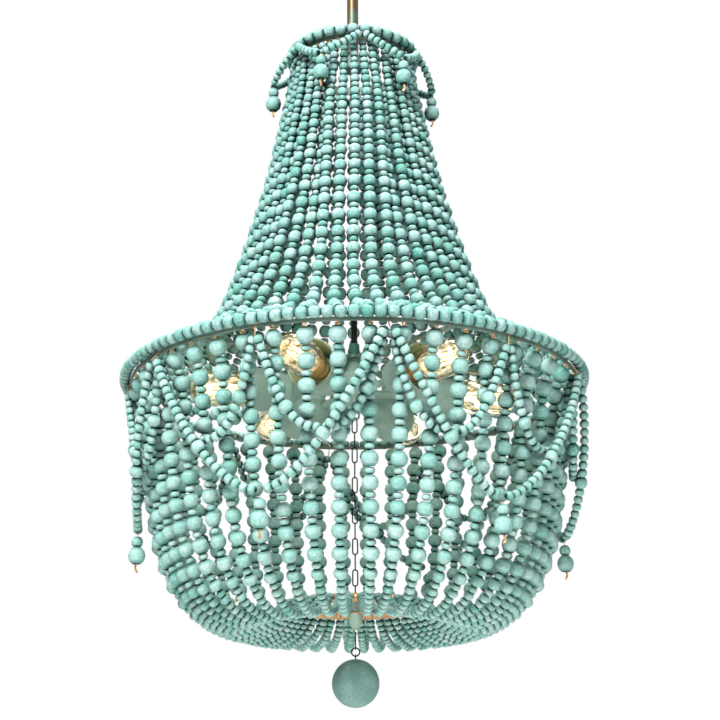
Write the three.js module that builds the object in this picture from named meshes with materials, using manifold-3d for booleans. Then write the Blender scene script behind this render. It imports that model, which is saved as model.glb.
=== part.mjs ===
// A beaded chandelier. Millimetres, +Z up.
// The origin is the middle of the mounting bar's top face, on the ceiling.
// Azimuths are in degrees round the Z axis: 0 is the front (-Y), and 90 is +X.
import * as THREE from 'three';
import * as BufferGeometryUtils from 'three/addons/utils/BufferGeometryUtils.js';
import Module from 'manifold-3d';

const wasm = await Module();
wasm.setup();

// Clearance between touching pieces, and how far one joined piece runs into the other.
const fit = 0.3;
const weld = 1;
const mergeTolerance = 1e-4;

// Heights: how far the rim hangs under the ceiling, and what lies above and below the rim's bead row.
const rimDrop = 730;
const topRise = 482;
const ringDrop = 288;

// The two rows of barrel beads, the metal bands behind them, and the small ring at the bottom.
const topBeadRadius = 8;
const topBandRadius = 78;
const topBandHeight = 12;
const topBandWall = 2.5;
const rimBeadRadius = 7.5;
const rimBeadInset = 1.3;
const rimBandRadius = 289.7;
const rimBandHeight = 10;
const rimBandWall = 2.7;
const rimBandLap = 4;
const ringRadius = 78;
const ringWire = 3;

// The bead strings, as tubes of the beads' mean thickness, and the wires that they are hung on.
const strandCount = 48;
const sectorCount = 6;
const hangWire = 1.2;
const hangWireDrop = 4;
const skirtTopWidth = 9.4;
const skirtFootWidth = 12.6;
const skirtTopGap = 4.2;
const skirtFootRise = 8;
const basketTopWidth = 14.8;
const basketFootWidth = 9.2;
const basketTopInset = 3.4;
const basketDepth = 301;

// Bead swags and the pendants at their points.
const swagWidth = 10.6;
const topSwagWidth = 9;
const hookWire = 0.9;
const peakAzimuth = 7.5;
const topSwagPeakOut = 11.5;
const topSwagPeakDrop = 12;
const topSwagFootOut = 25;
const topSwagFootDrop = 46;
const rimSwagPeakDrop = 24;
const shortSwagDepth = 104;
const shortSwagDip = 3;
const longSwagRadius = 301.6;
const longSwagFootInset = 29.6;
const longSwagDepth = 172;
const pendantBead = 7.2;
const pendantBall = 11;
const pendantStub = 2;
const pendantWire = 1;
const crimpRadius = 1.8;
const crimpLength = 8;

// The lamp cluster at the height of the rim: hub, arms, cups and bulbs.
const lampCount = 6;
const lampAzimuth = -22.5;
const lampDrop = 7;
const hubTop = 38;
const hubRadius = 24;
const hubNeck = 9;
const hubFoot = 32;
const hubBelly = 14.4;
const hubShoulder = 19.2;
const hubCollar = 4.5;
const armRadius = 4.8;
const cupBack = 66;
const cupNeck = 8;
const cupNeckLength = 4;
const cupShoulder = 22;
const cupMouth = 140;
const cupMouthRadius = 32;
const cupWall = 1.6;
const holderRadius = 17.2;
const holderBore = 14.2;
const holderFloor = 86;
const holderMouth = 112;
const bulbRadius = 22.5;
const bulbNeck = 14.6;
const bulbTip = 215;
const bulbBase = 13.2;
const bulbContact = 6;
const bulbContactDepth = 3;
const bulbSwellShare = 0.45;

// The rod, coupling and flat spokes that carry the frames.
const stemRadius = 8;
const stemBore = 6.2;
const rodRadius = 4;
const rodInHub = 12;
const rodInStem = 16;
const couplingRadius = 7;
const couplingHeight = 18;
const topHubRadius = 13;
const topHubHeight = 20;
const topArmCount = 3;
const topArmWidth = 8;
const topArmThickness = 3;
const spokeCount = 6;
const spokeAzimuth = 22.5;
const spokeWidth = 10;
const spokeThickness = 3.4;
const spokeHubRadius = 16;

// The hanging end: bar, loop, collar, canopy, link and the loop on the stem.
const barLength = 104;
const barWidth = 22;
const barThickness = 3;
const barBoss = 9;
const barBossHeight = 9;
const barSlotLength = 16;
const barSlotWidth = 5;
const barSlotInset = 8;
const nippleRadius = 5;
const nippleTop = 4.5;
const loopBase = 15;
const loopBaseTop = 19;
const loopBaseHeight = 15;
const loopRadius = 11;
const loopWire = 2.5;
const canopyRadius = 65;
const canopyDepth = 26;
const canopyWall = 1.5;
const canopyHole = 15.6;
const collarRadius = 21;
const collarHeight = 7;
const linkRadius = 9;
const linkStraight = 16;
const shankRadius = 9;
const shankHeight = 13;
const plugLength = 9;

// The chain on the axis and what hangs under the bottom ring.
const chainWire = 1.1;
const chainLinks = 11;
const chainRadius = 3;
const hubEyeRadius = 6;
const hubEyeWire = 1.4;
const bossRadius = 7;
const bossHalf = 6;
const barWire = 2;
const capRadius = 9;
const capHeight = 18;
const eyeRadius = 3;
const eyeWire = 0.8;
const hookShank = 9;
const splitRingRadius = 5;
const ballRadius = 29.2;

// How finely the pieces are faceted.
const strandSides = 4;
const wireSides = 3;
const skirtSteps = 5;
const basketSteps = 7;
const swagSteps = 5;
const roundSides = 12;
const bandSides = 48;
const topBandSides = 24;
const smallSides = 6;
const eyeSegments = 8;
const lampSides = 10;

const rimZ = -rimDrop;
const topZ = rimZ + topRise;
const ringZ = rimZ - ringDrop;
const lampZ = rimZ - lampDrop;

const radians = THREE.MathUtils.degToRad;
const lerp = THREE.MathUtils.lerp;

const colours = {
  steel: new THREE.MeshStandardMaterial({ color: 0xa8a8a4, metalness: 0.9, roughness: 0.4 }),
  stemMetal: new THREE.MeshStandardMaterial({ color: 0x84795f, metalness: 0.8, roughness: 0.4 }),
  paintedMetal: new THREE.MeshStandardMaterial({ color: 0x86a894, metalness: 0.1, roughness: 0.6 }),
  blackMetal: new THREE.MeshStandardMaterial({ color: 0x1c201e, metalness: 0.5, roughness: 0.5 }),
  wood: new THREE.MeshStandardMaterial({ color: 0x86c3b0, metalness: 0, roughness: 0.85 }),
  paleWood: new THREE.MeshStandardMaterial({ color: 0xa2d3c9, metalness: 0, roughness: 0.85 }),
  glass: new THREE.MeshStandardMaterial({ color: 0xf3ead2, metalness: 0, roughness: 0.1 }),
};

// Solids.

// A closed three.js geometry as a solid, with its shared points merged and its faces pointing out.
function solidOf(geometry) {
  const bare = geometry.index ? geometry.clone() : BufferGeometryUtils.mergeVertices(geometry);
  bare.deleteAttribute('normal');
  bare.deleteAttribute('uv');
  const merged = BufferGeometryUtils.mergeVertices(bare, mergeTolerance);
  const places = merged.attributes.position;
  const corners = [];
  for (let i = 0; i < merged.index.count; i += 3) {
    const [a, b, c] = [0, 1, 2].map((step) => merged.index.getX(i + step));
    if (a !== b && b !== c && c !== a) corners.push([a, b, c]);
  }
  const at = (i) => new THREE.Vector3().fromBufferAttribute(places, i);
  const volume = corners.reduce((sum, [a, b, c]) => sum + at(a).dot(at(b).cross(at(c))), 0);
  const outward = volume < 0 ? corners.map(([a, b, c]) => [a, c, b]) : corners;
  return new wasm.Manifold(new wasm.Mesh({
    numProp: 3,
    vertProperties: new Float32Array(places.array),
    triVerts: new Uint32Array(outward.flat()),
  }));
}

function joined(solids) {
  return solids.reduce((whole, piece) => whole.add(piece));
}

const object = new THREE.Group();

function addPiece(name, solid, material) {
  const mesh = solid.getMesh();
  const geometry = new THREE.BufferGeometry();
  geometry.setAttribute('position', new THREE.BufferAttribute(new Float32Array(mesh.vertProperties), 3));
  geometry.setIndex(new THREE.BufferAttribute(new Uint32Array(mesh.triVerts), 1));
  const piece = new THREE.Mesh(geometry, material);
  piece.name = name;
  object.add(piece);
}

// A place given by its azimuth, its distance from the axis and its height.
function around(azimuth, radius, z) {
  const turn = radians(azimuth);
  return new THREE.Vector3(radius * Math.sin(turn), -radius * Math.cos(turn), z);
}

// A shape turned about Z from an outline of [radius, height] points.
function turned(outline, sides) {
  const points = outline.map(([radius, height]) => new THREE.Vector2(radius, height));
  return solidOf(new THREE.LatheGeometry(points, sides).rotateX(Math.PI / 2));
}

// A flat-sided ring about Z: inner and outer radius, bottom and top height.
function band(inner, outer, bottom, top, sides) {
  return turned([[inner, bottom], [outer, bottom], [outer, top], [inner, top], [inner, bottom]], sides);
}

function disc(radius, bottom, top, sides = roundSides) {
  return turned([[0, bottom], [radius, bottom], [radius, top], [0, top]], sides);
}

function box(width, depth, bottom, top) {
  return solidOf(new THREE.BoxGeometry(width, depth, top - bottom)).translate([0, 0, (top + bottom) / 2]);
}

// A cylinder bent along a curve, with a radius that may change on the way.
function bentTube(curve, radiusAt, sides, steps) {
  const tube = new THREE.CylinderGeometry(1, 1, 1, sides, steps);
  const frames = curve.computeFrenetFrames(steps, false);
  const places = tube.attributes.position;
  for (let i = 0; i < places.count; i++) {
    const step = Math.round((places.getY(i) + 1 / 2) * steps);
    const radius = radiusAt(step / steps);
    const place = curve.getPointAt(step / steps);
    place.addScaledVector(frames.normals[step], places.getX(i) * radius);
    place.addScaledVector(frames.binormals[step], -places.getZ(i) * radius);
    places.setXYZ(i, place.x, place.y, place.z);
  }
  return solidOf(tube);
}

function rod(from, to, radius, sides = smallSides) {
  return bentTube(new THREE.LineCurve3(from, to), () => radius, sides, 1);
}

// A wire ring. It stands upright across X or across Y, or lies flat.
function wireRing(radius, wire, z, upright, segments, sides) {
  const ring = new THREE.TorusGeometry(radius, wire, sides, segments);
  if (upright) ring.rotateX(Math.PI / 2);
  if (upright === 'acrossX') ring.rotateZ(Math.PI / 2);
  return solidOf(ring).translate([0, 0, z]);
}

// A small wire eye, upright.
function eye(radius, wire, z, upright) {
  return wireRing(radius, wire, z, upright, eyeSegments, strandSides);
}

// An oval link, upright: a ring whose upper and lower halves are drawn apart by the straight.
function link(radius, straight, wire, z, acrossX, sides, segments) {
  const ring = new THREE.TorusGeometry(radius, wire, sides, segments);
  const places = ring.attributes.position;
  for (let i = 0; i < places.count; i++) {
    const shift = THREE.MathUtils.clamp(places.getY(i) / wire, -1, 1) * straight / 2;
    places.setY(i, places.getY(i) + shift);
  }
  ring.rotateX(Math.PI / 2);
  if (acrossX) ring.rotateZ(Math.PI / 2);
  return solidOf(ring).translate([0, 0, z]);
}

// An arc of wire at one height, from one azimuth to another.
function arcWire(radius, z, from, to, wire, steps) {
  const points = [];
  for (let i = 0; i <= steps; i++) points.push(around(lerp(from, to, i / steps), radius, z));
  return bentTube(new THREE.CatmullRomCurve3(points), () => wire, wireSides, steps);
}

// The ceiling end.

const loopZ = -(loopBaseTop + loopBaseHeight + loopRadius - loopWire / 2);
const loopFoot = loopZ - loopRadius;
const linkTop = loopFoot + 2 * loopWire + fit;
const linkZ = linkTop - linkRadius - linkStraight / 2;
const linkFoot = linkZ - linkRadius - linkStraight / 2;
const stemLoopZ = linkFoot + 2 * loopWire + fit - loopRadius;
const stemTop = stemLoopZ - loopRadius + loopWire / 2 - shankHeight;

function mountingBar() {
  const slotPlace = barLength / 2 - barSlotInset - barSlotLength / 2;
  let bar = box(barLength, barWidth, -barThickness, 0);
  bar = bar.add(disc(barBoss, -barBossHeight, -barThickness / 2));
  bar = bar.subtract(disc(nippleRadius + fit, -barBossHeight - weld, -nippleTop + fit));
  for (const side of [-1, 1]) {
    const slot = box(barSlotLength, barSlotWidth, -barThickness - weld, weld);
    bar = bar.subtract(slot.translate([side * slotPlace, 0, 0]));
  }
  return bar;
}

function canopyLoop() {
  const nipple = disc(nippleRadius, -loopBaseTop - weld, -nippleTop);
  const base = turned([
    [0, -loopBaseTop - loopBaseHeight],
    [loopBase - loopWire, -loopBaseTop - loopBaseHeight],
    [loopBase, -loopBaseTop - loopBaseHeight + loopWire],
    [loopBase, -loopBaseTop],
    [0, -loopBaseTop],
  ], roundSides);
  return joined([base, nipple, wireRing(loopRadius, loopWire, loopZ, 'acrossY', roundSides, smallSides)]);
}

// A shallow spun dome with an open top and a hole in its middle for the loop.
function canopy() {
  const shoulderShares = [[1, 0], [0.985, 0.3], [0.9, 0.62], [0.72, 0.87], [0.5, 1]];
  const outside = shoulderShares.map(([out, down]) => [canopyRadius * out, -canopyDepth * down]);
  const inside = shoulderShares.map(([out, down]) => [
    (canopyRadius - canopyWall) * out, -(canopyDepth - canopyWall) * down,
  ]);
  return turned([
    ...outside,
    [canopyHole, -canopyDepth],
    [canopyHole, -canopyDepth + canopyWall],
    ...inside.reverse(),
    outside[0],
  ], 2 * lampSides);
}

function collar() {
  const top = -canopyDepth - fit;
  return band(loopBase + fit, collarRadius, top - collarHeight, top, roundSides);
}

function stemLoop() {
  const shank = disc(shankRadius, stemTop, stemTop + shankHeight);
  const plug = disc(stemBore - fit, stemTop - plugLength, stemTop + weld);
  return joined([shank, plug, wireRing(loopRadius, loopWire, stemLoopZ, 'acrossY', roundSides, smallSides)]);
}

addPiece('mounting_bar', mountingBar(), colours.steel);
addPiece('canopy_loop', canopyLoop(), colours.stemMetal);
addPiece('canopy_collar', collar(), colours.stemMetal);
addPiece('canopy', canopy(), colours.stemMetal);
addPiece('hanging_link', link(linkRadius, linkStraight, loopWire, linkZ, true, smallSides, roundSides),
  colours.stemMetal);
addPiece('stem_loop', stemLoop(), colours.stemMetal);

// Stem, rod, coupling and the two welded frames.

const topBandTop = topZ;
const topBandFoot = topBandTop - topBandHeight;
const topHubFoot = topBandFoot - (topHubHeight - topBandHeight) / 2;
const topHubTop = topHubFoot + topHubHeight;
const rimBandTop = rimZ - rimBandLap;
const rimBandFoot = rimBandTop - rimBandHeight;
const hubTopZ = rimZ + hubTop;
const spokeHubZ = hubTopZ + fit;
const couplingZ = spokeHubZ + spokeThickness + fit;

function topFrame() {
  const hub = disc(topHubRadius, topHubFoot, topHubTop);
  const hoop = band(topBandRadius - topBandWall, topBandRadius, topBandFoot, topBandTop, topBandSides);
  const arms = [];
  for (let i = 0; i < topArmCount; i++) {
    const length = topBandRadius - topBandWall / 2 - rodRadius - 2 * fit;
    const arm = box(topArmWidth, length, topBandFoot, topBandFoot + topArmThickness);
    const middle = rodRadius + 2 * fit + length / 2;
    arms.push(arm.translate([0, -middle, 0]).rotate([0, 0, 360 * (i + 1 / 2) / topArmCount]));
  }
  const bore = disc(rodRadius + fit, topHubFoot - weld, topHubTop + weld);
  return joined([hub, hoop, ...arms]).subtract(bore);
}

// Flat spokes run from a plate on the rod down to the inside of the rim band.
function rimFrame() {
  const plate = disc(spokeHubRadius, spokeHubZ, spokeHubZ + spokeThickness);
  const hoop = band(rimBandRadius - rimBandWall, rimBandRadius, rimBandFoot, rimBandTop, bandSides);
  const section = new THREE.Shape();
  const start = new THREE.Vector2(spokeHubRadius - 2 * weld, spokeHubZ + spokeThickness / 2);
  const end = new THREE.Vector2(rimBandRadius - rimBandWall / 2, rimBandTop - rimBandHeight / 2);
  section.moveTo(start.x, start.y - spokeThickness / 2);
  section.lineTo(end.x, end.y - spokeThickness / 2);
  section.lineTo(end.x, end.y + spokeThickness / 2);
  section.lineTo(start.x, start.y + spokeThickness / 2);
  section.closePath();
  const spoke = solidOf(new THREE.ExtrudeGeometry(section, { depth: spokeWidth, bevelEnabled: false })
    .translate(0, 0, -spokeWidth / 2).rotateX(Math.PI / 2));
  const spokes = [];
  for (let i = 0; i < spokeCount; i++) {
    spokes.push(spoke.rotate([0, 0, spokeAzimuth - 90 + 360 * i / spokeCount]));
  }
  const bore = disc(rodRadius + fit, spokeHubZ - weld, spokeHubZ + spokeThickness + weld);
  return joined([plate, hoop, ...spokes]).subtract(bore);
}

const stemFoot = topHubTop + fit;
addPiece('stem', band(stemBore, stemRadius, stemFoot, stemTop - fit, roundSides), colours.stemMetal);
addPiece('top_frame', topFrame(), colours.paintedMetal);
addPiece('inner_rod', disc(rodRadius, hubTopZ - rodInHub + fit, stemFoot + rodInStem, smallSides * 2),
  colours.blackMetal);
addPiece('rod_coupling', band(rodRadius + fit, couplingRadius, couplingZ, couplingZ + couplingHeight,
  smallSides * 2), colours.paintedMetal);
addPiece('rim_frame', rimFrame(), colours.paintedMetal);

// The two rows of barrel beads, threaded on their own hoops outside the bands.

function beadRow(bandRadius, beadRadius, z, sides, segments) {
  const row = new THREE.TorusGeometry(bandRadius + fit + beadRadius, beadRadius, sides, segments);
  return solidOf(row).translate([0, 0, z]);
}

addPiece('top_bead_row', beadRow(topBandRadius, topBeadRadius, topZ, smallSides, topBandSides),
  colours.wood);
addPiece('rim_bead_row',
  beadRow(rimBandRadius - rimBeadInset, rimBeadRadius, rimZ, smallSides - 1, bandSides), colours.wood);

// The bead strings. Each sector of eight is held by one arc of hanging wire.

const strandStep = 360 / strandCount;
const sectorStrands = strandCount / sectorCount;

// The skirt's outline: shares of its height down from the top band and of its spread out to the rim.
const skirtShares = [[0, 0], [0.1, 0.03], [0.2, 0.073], [0.41, 0.168], [0.61, 0.291], [0.764, 0.405],
  [0.877, 0.592], [0.957, 0.81], [1, 1]];

function skirtOutline() {
  const top = topBandFoot - fit;
  const foot = rimZ + skirtFootRise;
  const inner = topBandRadius + skirtTopGap;
  const outer = rimBandRadius - rimBandWall - fit - skirtFootWidth / 2;
  return skirtShares.map(([down, out]) => [lerp(inner, outer, out), lerp(top, foot, down)]);
}

// The basket's outline: shares of its depth, and of its spread from the bottom ring out to the rim.
const basketShares = [[0, 1], [0.07, 0.945], [0.2, 0.905], [0.47, 0.85], [0.66, 0.8], [0.8, 0.73],
  [0.9, 0.635], [0.97, 0.5], [1, 0.31], [0.975, 0.12]];

function basketOutline() {
  const top = rimBandFoot - fit;
  const foot = ringZ;
  const outer = rimBandRadius - basketTopInset;
  const inner = ringRadius + ringWire + fit + basketFootWidth / 2;
  const outline = basketShares.map(([down, out]) => [lerp(inner, outer, out), top - basketDepth * down]);
  return [...outline, [inner, foot]];
}

function strand(outline, azimuth, topWidth, footWidth, steps) {
  const curve = new THREE.CatmullRomCurve3(outline.map(([radius, z]) => around(azimuth, radius, z)));
  return bentTube(curve, (share) => lerp(topWidth, footWidth, share) / 2, strandSides, steps);
}

function strandSector(outline, sector, wireRadius, wireZ, topWidth, footWidth, steps) {
  const first = (sector * sectorStrands - sectorStrands / 2 + 1 / 2) * strandStep;
  const last = first + (sectorStrands - 1) * strandStep;
  const pieces = [arcWire(wireRadius, wireZ, first, last, hangWire, sectorStrands - 1)];
  for (let i = 0; i < sectorStrands; i++) {
    pieces.push(strand(outline, first + i * strandStep, topWidth, footWidth, steps));
  }
  return joined(pieces);
}

for (let sector = 0; sector < sectorCount; sector++) {
  const skirt = strandSector(skirtOutline(), sector, topBandRadius + skirtTopGap,
    topBandFoot - fit - hangWireDrop, skirtTopWidth, skirtFootWidth, skirtSteps);
  addPiece(`upper_strings_${sector + 1}`, skirt, colours.wood);
}
for (let sector = 0; sector < sectorCount; sector++) {
  const basket = strandSector(basketOutline(), sector, rimBandRadius - basketTopInset - hangWire,
    rimBandFoot - fit - hangWireDrop, basketTopWidth, basketFootWidth, basketSteps);
  addPiece(`basket_strings_${sector + 1}`, basket, colours.wood);
}

// The swags. Those of one kind meet at their peaks, so each kind is one string that runs all the way round.

const vSagPower = 1.75;
const topSagPower = 1.25;
const uSagPower = 2.6;
const longSwagInPower = 6;
const vSag = (share) => 1 - Math.abs(2 * share - 1) ** vSagPower;
const topSag = (share) => 1 - Math.abs(2 * share - 1) ** topSagPower;
const uSag = (share) => 1 - Math.abs(2 * share - 1) ** uSagPower;

const swagPeakCount = 6;
const swagPitch = 360 / swagPeakCount;

// One string of equal swags: its peaks lie at one height and radius, its lowest points at another.
function swagString(count, peak, lowest, sag, inPower, width, steps) {
  const places = [];
  for (let i = 0; i < count * steps; i++) {
    const down = sag((i % steps) / steps);
    places.push(around(peakAzimuth + 360 * i / (count * steps), lerp(peak[0], lowest[0], down ** inPower),
      lerp(peak[1], lowest[1], down)));
  }
  const string = new THREE.TorusGeometry(1, 1, strandSides, places.length);
  const corners = string.attributes.position;
  const shares = string.attributes.uv;
  for (let i = 0; i < corners.count; i++) {
    const step = Math.round(shares.getX(i) * places.length) % places.length;
    const before = places[(step + places.length - 1) % places.length];
    const after = places[(step + 1) % places.length];
    const along = after.clone().sub(before).normalize();
    const out = new THREE.Vector3(places[step].x, places[step].y, 0).normalize();
    const up = along.clone().cross(out).normalize();
    const turn = 2 * Math.PI * shares.getY(i);
    const place = places[step].clone().addScaledVector(out.cross(up).cross(up), Math.cos(turn) * width / 2)
      .addScaledVector(up, Math.sin(turn) * width / 2);
    corners.setXYZ(i, place.x, place.y, place.z);
  }
  return solidOf(string);
}

const topRowRadius = topBandRadius + fit + topBeadRadius;
const topSwagPeak = topRowRadius + topSwagPeakOut;
const topSwagFoot = topRowRadius + topSwagFootOut;
const topHookSeat = topBandRadius * Math.cos(Math.PI / topBandSides) + fit;
const topHookZ = topBandFoot + fit + hookWire;
const topSwagTop = topZ - topSwagPeakDrop;
const topSwagPoint = topZ - topSwagFootDrop;
const rimSwagTop = rimZ - rimSwagPeakDrop;
const longSwagPoint = rimSwagTop - longSwagDepth;
const longSwagFoot = longSwagRadius - longSwagFootInset;

// The small swags on the top row. At each peak a short hook goes in under the row to the top band.
function topSwags() {
  const pieces = [swagString(swagPeakCount, [topSwagPeak, topSwagTop], [topSwagFoot, topSwagPoint], topSag,
    1, topSwagWidth, swagSteps - 1)];
  for (let i = 0; i < swagPeakCount; i++) {
    const azimuth = peakAzimuth + i * swagPitch;
    pieces.push(rod(around(azimuth, topSwagPeak, topSwagTop), around(azimuth, topHookSeat, topHookZ),
      hookWire, wireSides));
  }
  return joined(pieces);
}

// The rim swags hang on hooks outside the rim band, the long ones in front of the short ones.
const hookTop = rimBandTop - rimBandLap;
const shortHookRadius = rimBandRadius + fit + hookWire;
const longHookRadius = shortHookRadius + 2 * hookWire + fit;

function longSwags() {
  const lowest = [longSwagFoot, longSwagPoint];
  const pieces = [swagString(swagPeakCount, [longSwagRadius, rimSwagTop], lowest, vSag, longSwagInPower,
    swagWidth, 2 * swagSteps)];
  for (let i = 0; i < swagPeakCount; i++) {
    const azimuth = peakAzimuth + i * swagPitch;
    pieces.push(rod(around(azimuth, longHookRadius, hookTop), around(azimuth, longSwagRadius, rimSwagTop),
      hookWire, wireSides));
  }
  return joined(pieces);
}

function shortSwags() {
  const lowest = [shortHookRadius - shortSwagDip, rimSwagTop - shortSwagDepth];
  const pieces = [swagString(2 * swagPeakCount, [shortHookRadius, rimSwagTop], lowest, uSag, 1, swagWidth,
    swagSteps + 1)];
  for (let i = 0; i < 2 * swagPeakCount; i++) {
    const azimuth = peakAzimuth + i * swagPitch / 2;
    pieces.push(rod(around(azimuth, shortHookRadius, hookTop), around(azimuth, shortHookRadius, rimSwagTop),
      hookWire, wireSides));
  }
  return joined(pieces);
}

addPiece('top_swags', topSwags(), colours.wood);
addPiece('short_swags', shortSwags(), colours.paleWood);
addPiece('long_swags', longSwags(), colours.paleWood);

// A pendant: wire stub, bead, ball and crimped tail on one wire, from its top end down.
const beadAngles = [60, 0];
const ballAngles = [48, 0, -50];

function pendant(top) {
  const beadZ = top - pendantStub - pendantBead;
  const ballZ = beadZ - pendantBead - pendantBall + weld;
  const arc = (radius, z, degrees) => {
    const turn = radians(degrees);
    return [radius * Math.cos(turn), z + radius * Math.sin(turn)];
  };
  return turned([
    [0, top],
    [pendantWire, top],
    ...beadAngles.map((degrees) => arc(pendantBead, beadZ, degrees)),
    ...ballAngles.map((degrees) => arc(pendantBall, ballZ, degrees)),
    [crimpRadius, ballZ - pendantBall],
    [crimpRadius, ballZ - pendantBall - crimpLength],
    [0, ballZ - pendantBall - crimpLength],
  ], smallSides);
}

for (let i = 0; i < swagPeakCount; i++) {
  const azimuth = peakAzimuth + (i - 1 / 2) * swagPitch;
  const top = around(azimuth, topSwagFoot, topSwagPoint - topSwagWidth / 2 - fit);
  addPiece(`top_pendant_${i + 1}`, pendant(top.z).translate([top.x, top.y, 0]), colours.wood);
}
for (let i = 0; i < swagPeakCount; i++) {
  const azimuth = peakAzimuth + (i - 1 / 2) * swagPitch;
  const top = around(azimuth, longSwagFoot, longSwagPoint - swagWidth / 2 - fit);
  addPiece(`rim_pendant_${i + 1}`, pendant(top.z).translate([top.x, top.y, 0]), colours.paleWood);
}

// The lamps. Each is turned about its own axis, then laid pointing out from the hub.

const hubFootZ = rimZ - hubFoot;
const hubEyeZ = hubFootZ - hubEyeRadius + hubEyeWire / 2;

function lampTurned(outline, sides, azimuth) {
  return turned(outline, sides).rotate([90, 0, 0]).rotate([0, 0, azimuth]).translate([0, 0, lampZ]);
}

function lampHub() {
  const body = turned([
    [0, hubFootZ], [hubNeck, hubFootZ], [hubRadius, lampZ - hubBelly], [hubRadius, lampZ + hubShoulder],
    [hubNeck, hubTopZ - hubCollar], [hubNeck, hubTopZ], [0, hubTopZ],
  ], roundSides);
  const arms = [];
  for (let i = 0; i < lampCount; i++) {
    const azimuth = lampAzimuth + 360 * i / lampCount;
    arms.push(rod(around(azimuth, hubRadius / 2, lampZ), around(azimuth, cupBack - fit, lampZ), armRadius,
      smallSides + 2));
  }
  const bore = disc(rodRadius + fit, hubTopZ - rodInHub, hubTopZ + weld);
  const chainEye = eye(hubEyeRadius, hubEyeWire, hubEyeZ, 'acrossY');
  return joined([body, chainEye, ...arms]).subtract(bore);
}

// A cone of spun metal with the lampholder standing on its floor.
function lampCup(azimuth) {
  return lampTurned([
    [0, cupBack], [cupNeck - cupWall, cupBack], [cupNeck, cupBack + cupNeckLength],
    [cupShoulder, holderFloor - cupWall], [cupMouthRadius, cupMouth], [cupMouthRadius - cupWall, cupMouth],
    [cupShoulder - cupWall, holderFloor], [holderRadius, holderFloor], [holderRadius, holderMouth],
    [holderBore, holderMouth], [holderBore, holderFloor], [0, holderFloor],
  ], lampSides, azimuth);
}

// A long clear bulb: screw base, neck, glass and rounded tip.
function bulb(azimuth) {
  const contact = holderFloor + fit;
  const glassFoot = holderMouth + bulbContactDepth;
  const tipStart = bulbTip - bulbRadius;
  return lampTurned([
    [0, contact], [bulbContact, contact], [bulbBase, contact + bulbContactDepth], [bulbBase, holderMouth],
    [bulbNeck, glassFoot], [bulbRadius, lerp(glassFoot, tipStart, bulbSwellShare)], [bulbRadius, tipStart],
    [bulbRadius * Math.SQRT1_2, bulbTip - bulbRadius * (1 - Math.SQRT1_2)], [0, bulbTip],
  ], lampSides, azimuth);
}

addPiece('lamp_hub', lampHub(), colours.paintedMetal);
for (let i = 0; i < lampCount; i++) {
  addPiece(`lamp_cup_${i + 1}`, lampCup(lampAzimuth + 360 * i / lampCount), colours.paintedMetal);
}
for (let i = 0; i < lampCount; i++) {
  addPiece(`bulb_${i + 1}`, bulb(lampAzimuth + 360 * i / lampCount), colours.glass);
}

// The chain from the hub's eye to the boss of the bottom ring, its links closed on each other.

const chainTop = hubEyeZ - hubEyeRadius + hubEyeWire + chainWire + fit;
const bossEyeZ = ringZ + bossHalf + eyeRadius;
const chainFoot = bossEyeZ + eyeRadius - eyeWire - chainWire - fit;

function chain() {
  const pitch = (chainTop - chainFoot + (chainLinks - 1) * chainWire) / chainLinks;
  const straight = pitch - 2 * chainRadius;
  const links = [];
  for (let i = 0; i < chainLinks; i++) {
    const top = chainTop - i * (pitch - chainWire);
    links.push(link(chainRadius, straight, chainWire, top - pitch / 2, i % 2 === 0, wireSides, eyeSegments));
  }
  return joined(links);
}

// The bottom ring: a wire ring with two crossed bars, a boss and an eye for the chain.
function bottomRing() {
  const ring = new THREE.TorusGeometry(ringRadius, ringWire, smallSides, topBandSides);
  const bars = [0, 90].map((turn) => rod(around(peakAzimuth + turn, -ringRadius, ringZ),
    around(peakAzimuth + turn, ringRadius, ringZ), barWire, strandSides));
  return joined([
    solidOf(ring).translate([0, 0, ringZ]),
    disc(bossRadius, ringZ - bossHalf, ringZ + bossHalf),
    eye(eyeRadius, eyeWire, bossEyeZ, 'acrossY'),
    ...bars,
  ]);
}

const capTop = ringZ - bossHalf - fit;
const capEyeZ = capTop - capHeight - eyeRadius + eyeWire / 2;

function bottomCap() {
  const domeShares = [[0.97, 0.3], [0.8, 0.62], [0.48, 0.88], [0.2, 1]];
  const dome = turned([
    [0, capTop], [capRadius, capTop],
    ...domeShares.map(([out, down]) => [capRadius * out, capTop - capHeight * down]),
    [0, capTop - capHeight],
  ], roundSides);
  return dome.add(eye(eyeRadius, eyeWire, capEyeZ, 'acrossY'));
}

const hookTopZ = capEyeZ - eyeRadius + 2 * eyeWire + fit - eyeRadius;
const hookFootZ = hookTopZ - 2 * eyeRadius - hookShank;
const splitRingZ = hookFootZ - eyeRadius + 2 * eyeWire + fit - splitRingRadius;
const ballEyeZ = splitRingZ - splitRingRadius + 2 * eyeWire + fit - eyeRadius;
const ballZ = ballEyeZ - eyeRadius + eyeWire / 2 - ballRadius;

function dropHook() {
  const shank = rod(new THREE.Vector3(0, 0, hookTopZ - eyeRadius + eyeWire / 2),
    new THREE.Vector3(0, 0, hookFootZ + eyeRadius - eyeWire / 2), eyeWire);
  return joined([shank, eye(eyeRadius, eyeWire, hookTopZ, 'acrossX'),
    eye(eyeRadius, eyeWire, hookFootZ, 'acrossX')]);
}

function dropBall() {
  const ball = new THREE.SphereGeometry(ballRadius, 2 * eyeSegments, lampSides).rotateX(Math.PI / 2);
  return solidOf(ball).translate([0, 0, ballZ]).add(eye(eyeRadius, eyeWire, ballEyeZ, 'acrossX'));
}

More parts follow.
